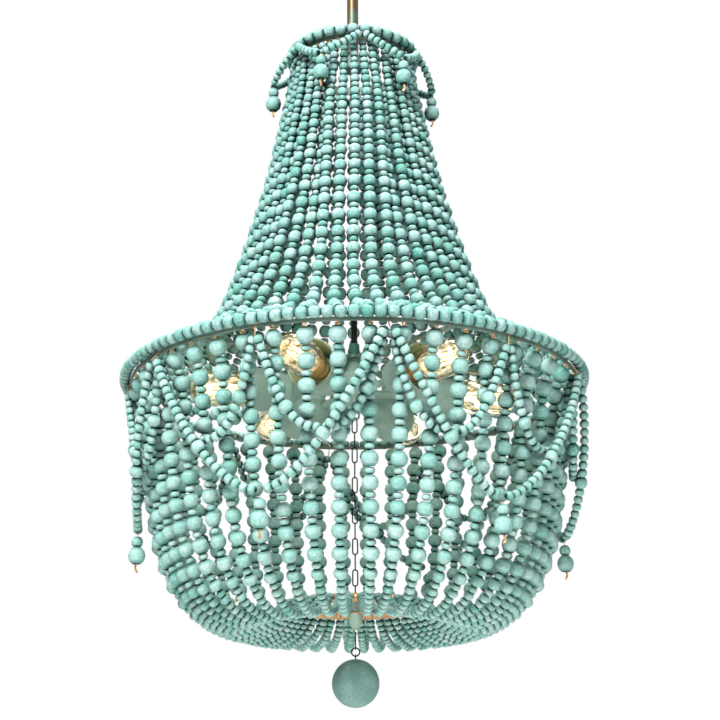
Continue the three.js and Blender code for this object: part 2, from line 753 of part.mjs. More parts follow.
addPiece('chain', chain(), colours.blackMetal);
addPiece('bottom_ring', bottomRing(), colours.paintedMetal);
addPiece('bottom_cap', bottomCap(), colours.paintedMetal);
addPiece('drop_hook', dropHook(), colours.blackMetal);
addPiece('split_ring', eye(splitRingRadius, eyeWire, splitRingZ, 'acrossY'), colours.blackMetal);
addPiece('drop_ball', dropBall(), colours.wood);

export default object;
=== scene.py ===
import math
import random

import bmesh
import bpy
import numpy as np
from mathutils import Matrix, Vector
from mathutils.geometry import interpolate_bezier


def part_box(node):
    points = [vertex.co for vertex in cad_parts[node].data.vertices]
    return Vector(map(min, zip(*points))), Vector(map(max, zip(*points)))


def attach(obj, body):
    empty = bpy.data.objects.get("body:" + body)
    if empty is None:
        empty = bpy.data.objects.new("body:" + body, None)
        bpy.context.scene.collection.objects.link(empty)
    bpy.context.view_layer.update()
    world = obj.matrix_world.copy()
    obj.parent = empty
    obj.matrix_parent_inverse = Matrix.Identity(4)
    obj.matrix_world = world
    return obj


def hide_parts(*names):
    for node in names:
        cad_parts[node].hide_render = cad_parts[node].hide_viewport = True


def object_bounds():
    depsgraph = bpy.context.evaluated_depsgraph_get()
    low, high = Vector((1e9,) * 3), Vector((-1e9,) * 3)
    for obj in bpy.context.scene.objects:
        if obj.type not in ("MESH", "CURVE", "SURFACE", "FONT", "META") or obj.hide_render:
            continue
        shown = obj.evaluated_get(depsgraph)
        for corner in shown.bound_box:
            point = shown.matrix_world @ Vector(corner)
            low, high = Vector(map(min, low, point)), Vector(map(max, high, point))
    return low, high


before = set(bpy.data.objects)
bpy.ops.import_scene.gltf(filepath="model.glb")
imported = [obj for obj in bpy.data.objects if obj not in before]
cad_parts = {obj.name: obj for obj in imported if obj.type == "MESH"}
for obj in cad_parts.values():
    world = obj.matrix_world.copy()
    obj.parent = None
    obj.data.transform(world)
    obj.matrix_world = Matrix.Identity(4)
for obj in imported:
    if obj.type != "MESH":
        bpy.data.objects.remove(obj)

cad_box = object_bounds()

# The view. The photograph looks up at the chandelier from about half a metre below the rim, and its top
# edge cuts off the stem. The camera is tipped up, rolled a touch to one side and shifted a little.
mm = 0.001
rim_low, rim_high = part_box("rim_bead_row")
rim_z = (rim_low.z + rim_high.z) / 2
camera_distance = 1787 * mm
camera_below_rim = 542 * mm
camera_tip = 18
camera_roll = -0.26
camera_lens = 71.435
camera_shift = 0.008

camera_data = bpy.data.cameras.new("camera")
camera_data.sensor_width = 36
camera_data.lens = camera_lens
camera_data.shift_x = camera_shift
camera_data.clip_end = 100
camera = bpy.data.objects.new("camera", camera_data)
camera.location = (0, -camera_distance, rim_z - camera_below_rim)
camera.rotation_euler = (Matrix.Rotation(math.radians(90 + camera_tip), 3, "X")
                         @ Matrix.Rotation(math.radians(camera_roll), 3, "Z")).to_euler()
bpy.context.scene.collection.objects.link(camera)
bpy.context.scene.camera = camera
bpy.context.scene.view_settings.view_transform = "Standard"


# The room: a plain pale floor well below the drop ball, a white surround, and soft round lamps in front,
# above, below and behind, as in a studio picture. The white is only seen, and lights next to nothing.
def srgb(code):
    """An sRGB hex colour as the linear colour that shaders take."""
    parts = [int(code[i:i + 2], 16) / 255 for i in (1, 3, 5)]
    return tuple(p / 12.92 if p <= 0.04045 else ((p + 0.055) / 1.055) ** 2.4 for p in parts) + (1,)


def add_node(tree, kind, inputs=(), **settings):
    """Adds a shader node. Inputs are values or other nodes' outputs, by socket name or number."""
    made = tree.nodes.new("ShaderNode" + kind)
    for name, value in settings.items():
        setattr(made, name, value)
    for socket, value in dict(inputs).items():
        if isinstance(value, bpy.types.NodeSocket):
            tree.links.new(value, made.inputs[socket])
        else:
            made.inputs[socket].default_value = value
    return made


def new_material(name):
    """An empty material, its node tree and its output node."""
    material = bpy.data.materials.new(name)
    material.use_nodes = True
    material.node_tree.nodes.clear()
    output = add_node(material.node_tree, "OutputMaterial")
    return material, material.node_tree, output


def direct_view(tree):
    """1 for rays from the camera, off a mirror or through glass, and 0 for light that falls on things."""
    rays = add_node(tree, "LightPath").outputs
    camera_or_mirror = add_node(tree, "Math", {0: rays["Is Camera Ray"], 1: rays["Is Glossy Ray"]},
                                operation="MAXIMUM")
    return add_node(tree, "Math", {0: camera_or_mirror.outputs[0], 1: rays["Is Transmission Ray"]},
                    operation="MAXIMUM").outputs[0]


def add_lamp(name, place, target, width, watts, colour):
    """A soft round studio lamp that faces its target."""
    data = bpy.data.lights.new(name, "AREA")
    data.shape = "DISK"
    data.size = width
    data.energy = watts
    data.color = srgb(colour)[:3]
    lamp = bpy.data.objects.new(name, data)
    lamp.location = place
    lamp.rotation_euler = (Vector(target) - Vector(place)).to_track_quat("-Z", "Y").to_euler()
    bpy.context.scene.collection.objects.link(lamp)


world = bpy.data.worlds.new("studio")
bpy.context.scene.world = world
world.use_nodes = True
sky = world.node_tree
sky.nodes.clear()
room_light = add_node(sky, "Background", {"Color": srgb("#F1F7F8"), "Strength": 0.05})
white_view = add_node(sky, "Background", {"Color": (1, 1, 1, 1), "Strength": 1.0})
room_or_view = add_node(sky, "MixShader", {0: direct_view(sky), 1: room_light.outputs[0],
                                           2: white_view.outputs[0]})
add_node(sky, "OutputWorld", {"Surface": room_or_view.outputs[0]})

# For each lamp: its place and its aim's height in metres from the rim's middle, its width, watts and colour.
studio_lamps = {
    "key": ((-0.9, -2.2, 1.8), 0, 1.0, 122, "#FAFCFF"),
    "fill": ((1.7, -2.1, 0.2), 0, 1.4, 9, "#F4F8FF"),
    "top": ((0.2, -0.2, 2.6), 0, 1.0, 48, "#FFFFFF"),
    "bounce": ((0.1, -0.9, -1.25), -0.25, 1.2, 8, "#FFFFFF"),
    "back": ((0.6, 2.4, 1.1), 0, 1.6, 18, "#F8FCFF"),
}
for name, ((lamp_x, lamp_y, rise), aim_rise, width, watts, colour) in studio_lamps.items():
    add_lamp(name, (lamp_x, lamp_y, rim_z + rise), (0, 0, rim_z + aim_rise), width, watts, colour)

floor_half_width = 6
floor_drop = 1.1
floor_mesh = bmesh.new()
bmesh.ops.create_grid(floor_mesh, x_segments=1, y_segments=1, size=floor_half_width,
                      matrix=Matrix.Translation((0, 0, cad_box[0][2] - floor_drop)))
floor_data = bpy.data.meshes.new("floor")
floor_mesh.to_mesh(floor_data)
floor_mesh.free()
floor = bpy.data.objects.new("floor", floor_data)
bpy.context.scene.collection.objects.link(floor)

# Matt emulsion on a smooth floor. Part of its look is plain pale light, so that it stays pale and even
# to the eye and in reflections, and the rest takes the chandelier's shadow.
floor_paint, tree, output = new_material("pale matt floor paint")
matt = add_node(tree, "BsdfPrincipled", {"Base Color": srgb("#F0F0EE"), "Roughness": 0.9})
pale = add_node(tree, "Emission", {"Color": srgb("#F6F6F4"), "Strength": 0.95})
shown = add_node(tree, "Math", {0: direct_view(tree), 1: 0.8}, operation="MULTIPLY")
lit = add_node(tree, "MixShader", {0: shown.outputs[0], 1: matt.outputs[0], 2: pale.outputs[0]})
tree.links.new(lit.outputs[0], output.inputs["Surface"])
floor_data.materials.append(floor_paint)


# The ceiling end, which the photograph cuts off: a zinc-plated steel bar screwed to the ceiling box,
# a loop on a nipple, a shallow spun canopy held up by a collar, one oval link and the loop on the stem.
smooth_below = math.radians(40)


def finish_piece(name, mesh, materials, body, replaced=()):
    """Makes the object, shades it smooth but at sharp edges, ties it to its body, hides what it replaces."""
    data = bpy.data.meshes.new(name)
    mesh.to_mesh(data)
    mesh.free()
    for material in materials:
        data.materials.append(material)
    data.shade_smooth()
    data.set_sharp_from_angle(angle=smooth_below)
    piece = bpy.data.objects.new(name, data)
    bpy.context.scene.collection.objects.link(piece)
    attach(piece, body)
    if replaced:
        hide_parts(*replaced)
    return piece


def turn_outline(mesh, outline, steps, matrix=Matrix.Identity(4), material=0):
    """Turns an outline of (radius, height) points about Z, closes its poles and faces it outwards."""
    points = [mesh.verts.new((radius, 0, height)) for radius, height in outline]
    edges = [mesh.edges.new(pair) for pair in zip(points, points[1:])]
    bmesh.ops.spin(mesh, geom=points + edges, axis=(0, 0, 1), cent=(0, 0, 0), dvec=(0, 0, 0),
                   angle=2 * math.pi, steps=steps, use_merge=True, use_duplicate=False)
    bmesh.ops.remove_doubles(mesh, verts=connected(points), dist=0.01 * mm)
    corners = connected([point for point in points if point.is_valid])
    faces = {face for corner in corners for face in corner.link_faces}
    bmesh.ops.recalc_face_normals(mesh, faces=list(faces))
    for face in faces:
        face.material_index = material
    bmesh.ops.transform(mesh, matrix=matrix, verts=corners)


def connected(starts):
    """All the vertices that hang together with the given ones."""
    found, queue = set(starts), list(starts)
    while queue:
        for edge in queue.pop().link_edges:
            for corner in edge.verts:
                if corner not in found:
                    found.add(corner)
                    queue.append(corner)
    return list(found)


def arc(centre_radius, centre_height, radius, start, end, count):
    """Points of an arc in an outline, from one angle to another, in degrees from the outward side."""
    turns = [math.radians(start + (end - start) * i / count) for i in range(count + 1)]
    return [(centre_radius + radius * math.cos(t), centre_height + radius * math.sin(t)) for t in turns]


def turned_ring(mesh, inner, outer, foot, top, edge, steps):
    """A turned ring with a plain bore, whose two outer edges are rounded."""
    turn_outline(mesh, [(inner, foot)] + arc(outer - edge, foot + edge, edge, -90, 0, 4)
                 + arc(outer - edge, top - edge, edge, 0, 90, 4) + [(inner, top), (inner, foot)], steps)


def turned(degrees, axis):
    """A turn about one axis, as a matrix."""
    return Matrix.Rotation(math.radians(degrees), 4, axis)


def wire_ring(mesh, radius, wire, matrix, steps, sides, straight=0):
    """A closed ring of round wire about Z, or an oval one whose halves are drawn apart along X."""
    section = bmesh.ops.create_circle(mesh, segments=sides, radius=wire,
                                      matrix=Matrix.Translation((radius, 0, 0)) @ turned(90, "X"))
    corners = section["verts"]
    edges = list({edge for corner in corners for edge in corner.link_edges})
    bmesh.ops.spin(mesh, geom=corners + edges, axis=(0, 0, 1), cent=(0, 0, 0), dvec=(0, 0, 0),
                   angle=2 * math.pi, steps=steps, use_merge=True, use_duplicate=False)
    ring = connected(corners[:1])
    for corner in ring:
        corner.co.x += math.copysign(straight / 2, corner.co.x) if abs(corner.co.x) > 0.01 * mm else 0
    faces = {face for corner in ring for face in corner.link_faces}
    bmesh.ops.recalc_face_normals(mesh, faces=list(faces))
    bmesh.ops.transform(mesh, matrix=matrix, verts=ring)


def upright(height, across_x=False):
    """Stands a ring up at a height on the axis: its hole faces along Y, or along X."""
    return Matrix.Translation((0, 0, height)) @ turned(90, "Y" if across_x else "X")


def metal_finish(name, base, worn, roughness, metallic, patch_size, worn_share):
    """Metal with a finish that is worn or spotted in patches, and a faint uneven polish. The polish marks
    are a few hundredths of a millimetre wide, too fine to show, and are drawn 0.9 mm wide."""
    material, tree, output = new_material(name)
    place = add_node(tree, "TexCoord").outputs["Object"]
    patches = add_node(tree, "TexNoise", {"Vector": place, "Scale": 1 / patch_size, "Detail": 5.0,
                                          "Roughness": 0.62})
    share = add_node(tree, "MapRange", {"Value": patches.outputs["Fac"], "From Min": 0.62 - worn_share,
                                        "From Max": 0.74 - worn_share})
    grain = add_node(tree, "TexNoise", {"Vector": place, "Scale": 1 / (0.9 * mm), "Detail": 3.0})
    colour = add_node(tree, "Mix", {0: share.outputs[0], 6: srgb(base), 7: srgb(worn)}, data_type="RGBA")
    rough = add_node(tree, "MapRange", {"Value": patches.outputs["Fac"], "From Min": 0.3, "From Max": 0.7,
                                        "To Min": roughness - 0.08, "To Max": roughness + 0.12})
    bump = add_node(tree, "Bump", {"Height": grain.outputs["Fac"], "Strength": 0.12, "Distance": 0.2 * mm})
    shader = add_node(tree, "BsdfPrincipled", {"Base Color": colour.outputs[2], "Metallic": metallic,
                                               "Roughness": rough.outputs[0], "Normal": bump.outputs[0]})
    tree.links.new(shader.outputs[0], output.inputs["Surface"])
    return material


# Zinc plate is a cool grey, duller where it has spotted. Brass left to age without lacquer is a deep
# brown with a soft sheen, and grey-green in broad patches.
zinc_plate = metal_finish("zinc plated steel", "#B9BBB8", "#8F918E", 0.38, 1.0, 9 * mm, 0.1)
aged_brass = metal_finish("aged satin brass", "#63553D", "#5C6A5E", 0.44, 1.0, 26 * mm, 0.14)

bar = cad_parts["mounting_bar"]
bar.data.materials.clear()
bar.data.materials.append(zinc_plate)

loop_low, loop_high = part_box("canopy_loop")
base_radius = loop_high.y
base_top = -19 * mm
base_foot = -34 * mm
nipple_radius = 5 * mm
nipple_top = -4.6 * mm
loop_radius = 11 * mm
loop_wire = 2.5 * mm
loop_z = loop_low.z + loop_radius + loop_wire
mesh = bmesh.new()
edge = 1.6 * mm
turn_outline(mesh, [(0, base_foot)] + arc(base_radius - edge, base_foot + edge, edge, -90, 0, 5)
             + [(base_radius, base_top), (nipple_radius, base_top), (nipple_radius, nipple_top),
                (0, nipple_top)], 48)
wire_ring(mesh, loop_radius, loop_wire, upright(loop_z), steps=48, sides=14)
finish_piece("loop_with_nipple", mesh, [aged_brass], "ceiling", ["canopy_loop"])

canopy_low, canopy_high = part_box("canopy")
canopy_radius = canopy_high.x
canopy_depth = -canopy_low.z
canopy_wall = 1.4 * mm
canopy_hole = 15.6 * mm
hole_edge = 1.2 * mm
canopy_curve = [(0.975, 0.3), (0.94, 0.48), (0.88, 0.65), (0.79, 0.8), (0.68, 0.9), (0.55, 0.965)]
outside = [(canopy_radius, 0), (canopy_radius, -2.2 * mm), (canopy_radius - 1.2 * mm, -3 * mm)]
outside += [(canopy_radius * out, -canopy_depth * down) for out, down in canopy_curve + [(0.42, 0.99)]]
outside += [(canopy_hole + hole_edge, -canopy_depth), (canopy_hole, -canopy_depth + hole_edge / 2),
            (canopy_hole, -canopy_depth + canopy_wall)]
inside = [((canopy_radius - canopy_wall) * out, -(canopy_depth - canopy_wall) * down)
          for out, down in reversed(canopy_curve)]
mesh = bmesh.new()
turn_outline(mesh, outside + inside + [(canopy_radius - canopy_wall, 0), (canopy_radius, 0)], 96)
finish_piece("spun_canopy", mesh, [aged_brass], "canopy", ["canopy"])

collar_low, collar_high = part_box("canopy_collar")
mesh = bmesh.new()
turned_ring(mesh, base_radius + 0.3 * mm, collar_high.x, collar_low.z, collar_high.z, 0.9 * mm, 72)
finish_piece("canopy_ring_nut", mesh, [aged_brass], "canopy", ["canopy_collar"])

link_low, link_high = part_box("hanging_link")
link_radius = 9 * mm
link_straight = link_high.z - link_low.z - 2 * (link_radius + loop_wire)
on_end = turned(90, "X") @ turned(90, "Z")
mesh = bmesh.new()
wire_ring(mesh, link_radius, loop_wire,
          Matrix.Translation((0, 0, (link_low.z + link_high.z) / 2)) @ turned(90, "Z") @ on_end,
          straight=link_straight, steps=48, sides=14)
finish_piece("oval_link", mesh, [aged_brass], "link", ["hanging_link"])

stem_loop_low, stem_loop_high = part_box("stem_loop")
stem_low, stem_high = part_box("stem")
shank_radius = 9 * mm
stem_loop_z = stem_loop_high.z - loop_radius - loop_wire
mesh = bmesh.new()
shank_foot = stem_high.z + 0.3 * mm
shank_top = shank_foot + 13 * mm
edge = 1.5 * mm
turn_outline(mesh, [(0, shank_foot), (shank_radius, shank_foot)]
             + arc(shank_radius - edge, shank_top - edge, edge, 0, 90, 5) + [(0, shank_top)], 48)
wire_ring(mesh, loop_radius, loop_wire, upright(stem_loop_z), steps=48, sides=14)
finish_piece("stem_loop_cast", mesh, [aged_brass], "fixture", ["stem_loop"])


# The stem and what hides inside: a brass tube down to the top frame, and a black steel rod on the axis
# from there to the lamp hub, with a painted coupling just above the hub.
stem_radius = stem_high.x
stem_bore = 6.2 * mm
edge = 0.4 * mm
mesh = bmesh.new()
turn_outline(mesh, [(stem_bore, stem_low.z), (stem_radius - edge, stem_low.z),
                    (stem_radius, stem_low.z + edge), (stem_radius, stem_high.z - edge),
                    (stem_radius - edge, stem_high.z), (stem_bore, stem_high.z),
                    (stem_bore, stem_low.z)], 64)
finish_piece("brass_stem", mesh, [aged_brass], "fixture", ["stem"])

# Steel that was blackened in hot oil: near black with a low sheen, and greyer where it has rubbed.
blackened_steel = metal_finish("blackened steel", "#1B1E1C", "#3A3B37", 0.42, 0.9, 12 * mm, 0.06)
rod_low, rod_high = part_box("inner_rod")
mesh = bmesh.new()
turn_outline(mesh, [(0, rod_low.z), (rod_high.x, rod_low.z), (rod_high.x, rod_high.z), (0, rod_high.z)], 32)
finish_piece("black_rod", mesh, [blackened_steel], "fixture", ["inner_rod"])


def painted_metal_finish(name, base, deep, bare):
    """Satin paint brushed on metal: cloudy, darker where dust has settled, and chipped in small specks.
    The specks are half a millimetre wide, too fine to show, and are drawn coarser, out of a 5 mm noise."""
    material, tree, output = new_material(name)
    place = add_node(tree, "TexCoord").outputs["Object"]
    clouds = add_node(tree, "TexNoise", {"Vector": place, "Scale": 1 / (34 * mm), "Detail": 4.0})
    specks = add_node(tree, "TexNoise", {"Vector": place, "Scale": 1 / (5 * mm), "Detail": 6.0,
                                         "Roughness": 0.7})
    chipped = add_node(tree, "MapRange", {"Value": specks.outputs["Fac"], "From Min": 0.7, "From Max": 0.74})
    dusk = add_node(tree, "MapRange", {"Value": clouds.outputs["Fac"], "From Min": 0.35, "From Max": 0.7})
    paint = add_node(tree, "Mix", {0: dusk.outputs[0], 6: srgb(base), 7: srgb(deep)}, data_type="RGBA")
    colour = add_node(tree, "Mix", {0: chipped.outputs[0], 6: paint.outputs[2], 7: srgb(bare)},
                      data_type="RGBA")
    bump = add_node(tree, "Bump", {"Height": specks.outputs["Fac"], "Strength": 0.1, "Distance": 0.3 * mm})
    shader = add_node(tree, "BsdfPrincipled", {"Base Color": colour.outputs[2], "Roughness": 0.5,
                                               "Metallic": 0.0, "Normal": bump.outputs[0]})
    tree.links.new(shader.outputs[0], output.inputs["Surface"])
    return material


# Three tins of the same satin paint: pale sage on the lamps and cap, a darker grey sage on the welded
# frames, and bottle green on the coupling, which stands out between the black rod and the pale hub.
sage_paint = painted_metal_finish("satin sage paint on steel", "#ABC6B4", "#90AF9D", "#5B6B5E")
dark_sage_paint = painted_metal_finish("dark green paint on steel", "#84998B", "#587264", "#A9A79A")
bottle_green_paint = painted_metal_finish("bottle green paint on steel", "#3F8A70", "#2B6652", "#7C9A8A")

coupling_low, coupling_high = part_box("rod_coupling")
mesh = bmesh.new()
turned_ring(mesh, rod_high.x + 0.3 * mm, coupling_high.x, coupling_low.z, coupling_high.z, 1.2 * mm, 40)
finish_piece("coupling_nut", mesh, [bottle_green_paint], "fixture", ["rod_coupling"])


# The two welded frames of flat steel, painted dark green: a small one on the stem with three arms, and
# the wide rim with six spokes that fall from a plate on the rod to the inside of the band.
def place_on(azimuth, radius, height):
    """The place at an azimuth in degrees (0 is the front, 90 is +X), a radius and a height."""
    turn = math.radians(azimuth)
    return Vector((radius * math.sin(turn), -radius * math.cos(turn), height))


def flat_band(mesh, inner, outer, foot, top, steps):
    """A hoop of flat steel that stands on edge, with its outer edges broken."""
    edge = 0.5 * mm
    turn_outline(mesh, [(inner, foot), (outer - edge, foot), (outer, foot + edge), (outer, top - edge),
                        (outer - edge, top), (inner, top), (inner, foot)], steps)


rod_hole = 4.3 * mm


def rod_plate(mesh, radius, foot, top):
    """A round plate with a hole for the rod."""
    turn_outline(mesh, [(rod_hole, foot), (radius, foot), (radius, top), (rod_hole, top),
                        (rod_hole, foot)], 48)


def flat_bar(mesh, start, end, width, thickness):
    """A bar of flat steel between two places, lying flat."""
    along = (end - start).normalized()
    side = along.cross(Vector((0, 0, 1))).normalized()
    turn = Matrix((along, side, along.cross(side))).transposed().to_4x4()
    made = bmesh.ops.create_cube(mesh, size=1, matrix=Matrix.Translation((start + end) / 2) @ turn
                                 @ Matrix.Diagonal(((end - start).length, width, thickness, 1)))
    edges = list({edge for corner in made["verts"] for edge in corner.link_edges})
    bmesh.ops.bevel(mesh, geom=edges, offset=0.5 * mm, segments=2, profile=0.5, affect="EDGES", material=-1)


frame_low, frame_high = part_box("top_frame")
top_band_radius = frame_high.x
top_band_thickness = 2.5 * mm
top_band_foot = frame_low.z + 4 * mm
top_band_top = top_band_foot + 12 * mm
top_plate_radius = 13 * mm
arm_width = 8 * mm
arm_thickness = 3 * mm
arm_z = top_band_foot + arm_thickness / 2
mesh = bmesh.new()
flat_band(mesh, top_band_radius - top_band_thickness, top_band_radius, top_band_foot, top_band_top, 96)
rod_plate(mesh, top_plate_radius, frame_low.z, frame_high.z)
for azimuth in (60, 180, 300):
    flat_bar(mesh, place_on(azimuth, top_plate_radius - 2 * mm, arm_z),
             place_on(azimuth, top_band_radius - 1.2 * mm, arm_z), arm_width, arm_thickness)
finish_piece("top_hoop", mesh, [dark_sage_paint], "fixture", ["top_frame"])

rim_frame_low, rim_frame_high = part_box("rim_frame")
rim_band_radius = 289.7 * mm
rim_band_thickness = 2.7 * mm
rim_band_top = rim_z - 4 * mm
rim_band_foot = rim_band_top - 4.6 * mm
rim_plate_radius = 16 * mm
spoke_width = 10 * mm
spoke_thickness = 3.4 * mm
plate_foot = rim_frame_high.z - spoke_thickness
mesh = bmesh.new()
flat_band(mesh, rim_band_radius - rim_band_thickness, rim_band_radius, rim_band_foot, rim_band_top, 192)
rod_plate(mesh, rim_plate_radius, plate_foot, rim_frame_high.z)
for spoke in range(6):
    azimuth = 22.5 + 60 * spoke
    flat_bar(mesh, place_on(azimuth, rim_plate_radius - 3 * mm, plate_foot + spoke_thickness / 2),
             place_on(azimuth, rim_band_radius - 2 * mm, rim_band_top - 5 * mm),
             spoke_width, spoke_thickness)
finish_piece("rim_hoop", mesh, [dark_sage_paint], "fixture", ["rim_frame"])


# The rows of barrel beads along the two hoops. They are turned wood beads in chalky turquoise paint,
# rubbed pale in spots and dark in the drilled holes, with painted shade towards the ends and in the gaps
# between beads, threaded tight on wire round each hoop.
hole_paint = srgb("#123A31")
# Green-black for the painted shade in the narrow gaps between beads.
gap_shade_colour = srgb("#05201A")


def chalk_paint(name, pale, plain, strong, deep, rubbed):
    """Chalky paint on a wooden bead: cloudy, and rubbed to the white ground in spots. Painted shade darkens
    it towards the drilled ends, and painted shade, green-black and without any sheen, fills the narrow gaps
    between neighbours. Each bead has a shade of its own. The wood's grain, 0.2 mm wide, is too fine to show
    and is drawn 1.1 mm wide."""
    material, tree, output = new_material(name)
    place = add_node(tree, "TexCoord").outputs["Object"]
    shade = add_node(tree, "Attribute", attribute_name="bead_shade").outputs["Fac"]
    end = add_node(tree, "Attribute", attribute_name="bead_end").outputs["Fac"]
    clouds = add_node(tree, "TexNoise", {"Vector": place, "Scale": 1 / (5 * mm), "Detail": 5.0,
                                         "Roughness": 0.68})
    grain = add_node(tree, "TexNoise", {"Vector": place, "Scale": 1 / (1.1 * mm), "Detail": 5.0,
                                        "Roughness": 0.7})
    spots = add_node(tree, "TexNoise", {"Vector": place, "Scale": 1 / (3.6 * mm), "Detail": 6.0,
                                        "Roughness": 0.75})
    mixed = add_node(tree, "MapRange", {"Value": clouds.outputs["Fac"], "From Min": 0.34, "From Max": 0.68})
    body = add_node(tree, "Mix", {0: mixed.outputs[0], 6: srgb(plain), 7: srgb(pale)}, data_type="RGBA")
    bead = add_node(tree, "Mix", {0: shade, 6: srgb(strong), 7: body.outputs[2]}, data_type="RGBA")
    worn = add_node(tree, "MapRange", {"Value": spots.outputs["Fac"], "From Min": 0.53, "From Max": 0.64,
                                       "To Max": 0.72})
    dry = add_node(tree, "Mix", {0: worn.outputs[0], 6: bead.outputs[2], 7: srgb(rubbed)}, data_type="RGBA")
    # Painted shade: the colour falls to the deep shade towards the drilled ends, where neighbouring beads
    # shade them.
    end_shade = add_node(tree, "MapRange", {"Value": end, "From Min": 0.45, "From Max": 0.88, "To Max": 0.7},
                      interpolation_type="SMOOTHSTEP")
    sunk = add_node(tree, "Mix", {0: end_shade.outputs[0], 6: dry.outputs[2], 7: srgb(deep)}, data_type="RGBA")
    seam = add_node(tree, "MapRange", {"Value": end, "From Min": 0.84, "From Max": 0.92},
                    interpolation_type="SMOOTHSTEP")
    clean = add_node(tree, "Mix", {0: seam.outputs[0], 6: sunk.outputs[2], 7: hole_paint}, data_type="RGBA")
    # Painted shade: where neighbours close in, the colour goes green-black and the sheen goes away.
    open_to_air = add_node(tree, "AmbientOcclusion", {"Distance": 24 * mm}, samples=4)
    gap_shade = add_node(tree, "MapRange", {"Value": open_to_air.outputs["AO"], "From Min": 0.32,
                                        "From Max": 0.84, "To Min": 0.97, "To Max": 0.0})
    sheen = add_node(tree, "MapRange", {"Value": gap_shade.outputs[0], "To Min": 0.3, "To Max": 0.0})
    colour = add_node(tree, "Mix", {0: gap_shade.outputs[0], 6: clean.outputs[2], 7: gap_shade_colour}, data_type="RGBA")
    bump = add_node(tree, "Bump", {"Height": grain.outputs["Fac"], "Strength": 0.25, "Distance": 0.35 * mm})
    shader = add_node(tree, "BsdfPrincipled", {"Base Color": colour.outputs[2], "Roughness": 0.78,
                                               "Specular IOR Level": sheen.outputs[0],
                                               "Normal": bump.outputs[0]})
    tree.links.new(shader.outputs[0], output.inputs["Surface"])
    return material


# The beads above the rim are a livelier sea green, and those below it and on the swags a paler turquoise.
# Each has its pale, plain and strong shade, the deep one for the painted shade near the drilled ends, and
# the rubbed white.
green_chalk = chalk_paint("chalky sea green paint on wood",
                          "#D1EAE8", "#7DBFB3", "#5CB19F", "#23705D", "#ECE8E5")
blue_chalk = chalk_paint("chalky pale turquoise paint on wood",
                         "#D4ECE7", "#97D3C6", "#7DC3B4", "#33806F", "#F0E9E5")
chance = random.Random(4277)


def bead_mesh():
    """An empty mesh with the two values that the paint reads from each bead."""
    mesh = bmesh.new()
    mesh.verts.layers.float.new("bead_shade")
    mesh.verts.layers.float.new("bead_end")
    return mesh


bead_data = bpy.data.meshes.new("one bead")
sunk_pole = 0.82
ball_share = 0.9


def add_bead(mesh, place, along, width, height, fullness, sides):
    """A bead threaded along a direction. Fullness 1 makes a ball, and less makes a barrel. Its poles are
    sunk for the drilled hole, so the ball it is made from is a tenth taller than the bead."""
    along = along.normalized()
    turn = along.to_track_quat("Z", "X").to_matrix().to_4x4()
    bead = bead_mesh()
    bmesh.ops.create_uvsphere(bead, u_segments=sides, v_segments=6, radius=1)
    shade_layer = bead.verts.layers.float["bead_shade"]
    end_layer = bead.verts.layers.float["bead_end"]
    shade = min(1, max(0, chance.gauss(0.66, 0.24)))
    for corner in bead.verts:
        share = corner.co.z
        corner[shade_layer] = shade
        corner[end_layer] = abs(share)
        if abs(share) > 0.99:
            corner.co.z *= sunk_pole
        else:
            swell = (1 - share * share) ** ((fullness - 1) / 2)
            corner.co.x *= swell
            corner.co.y *= swell
    bmesh.ops.transform(bead, verts=bead.verts, matrix=Matrix.Translation(place) @ turn
                        @ Matrix.Diagonal((width / 2, width / 2, height / 2 / ball_share, 1)))
    bead.to_mesh(bead_data)
    bead.free()
    mesh.from_mesh(bead_data)


def bead_row(name, radius, height, count, width, replaced):
    """A closed row of barrel beads end to end round a hoop, each a hair off its place."""
    mesh = bead_mesh()
    length = 2 * math.pi * radius / count
    for i in range(count):
        azimuth = 360 * i / count
        place = place_on(azimuth, radius, height + chance.uniform(-0.3, 0.3) * mm)
        along = Vector((math.cos(math.radians(azimuth)), math.sin(math.radians(azimuth)), 0))
        add_bead(mesh, place, along, width * chance.uniform(0.97, 1), length * 0.985, 0.8, 12)
    finish_piece(name, mesh, [green_chalk], "fixture", [replaced])


top_row_low, top_row_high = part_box("top_bead_row")
top_z = (top_row_low.z + top_row_high.z) / 2
top_bead = 16 * mm
top_row_radius = top_row_high.x - top_bead / 2
bead_row("top_row_beads", top_row_radius, top_z, 34, top_bead, "top_bead_row")

rim_bead = 15 * mm
rim_row_radius = rim_high.x - rim_bead / 2
bead_row("rim_row_beads", rim_row_radius, rim_z, 126, rim_bead, "rim_bead_row")


# The upper strings. Forty-eight strings hang from the top hoop and flare out to the rim. Wooden balls
# take turns with flatter spacer beads, small at the top and bigger lower down, threaded on thin wire.
def smooth_line(points, steps=10):
    """A dense smooth line through the points."""
    if len(points) == 2:
        return [Vector(point) for point in points]
    line = []
    for i in range(len(points) - 1):
        before, start = points[max(i - 1, 0)], points[i]
        end, after = points[i + 1], points[min(i + 2, len(points) - 1)]
        out, back = (end - before) / 6, (after - start) / 6
        line += interpolate_bezier(start, start + out, end - back, end, steps)[:-1]
    return line + [points[-1]]


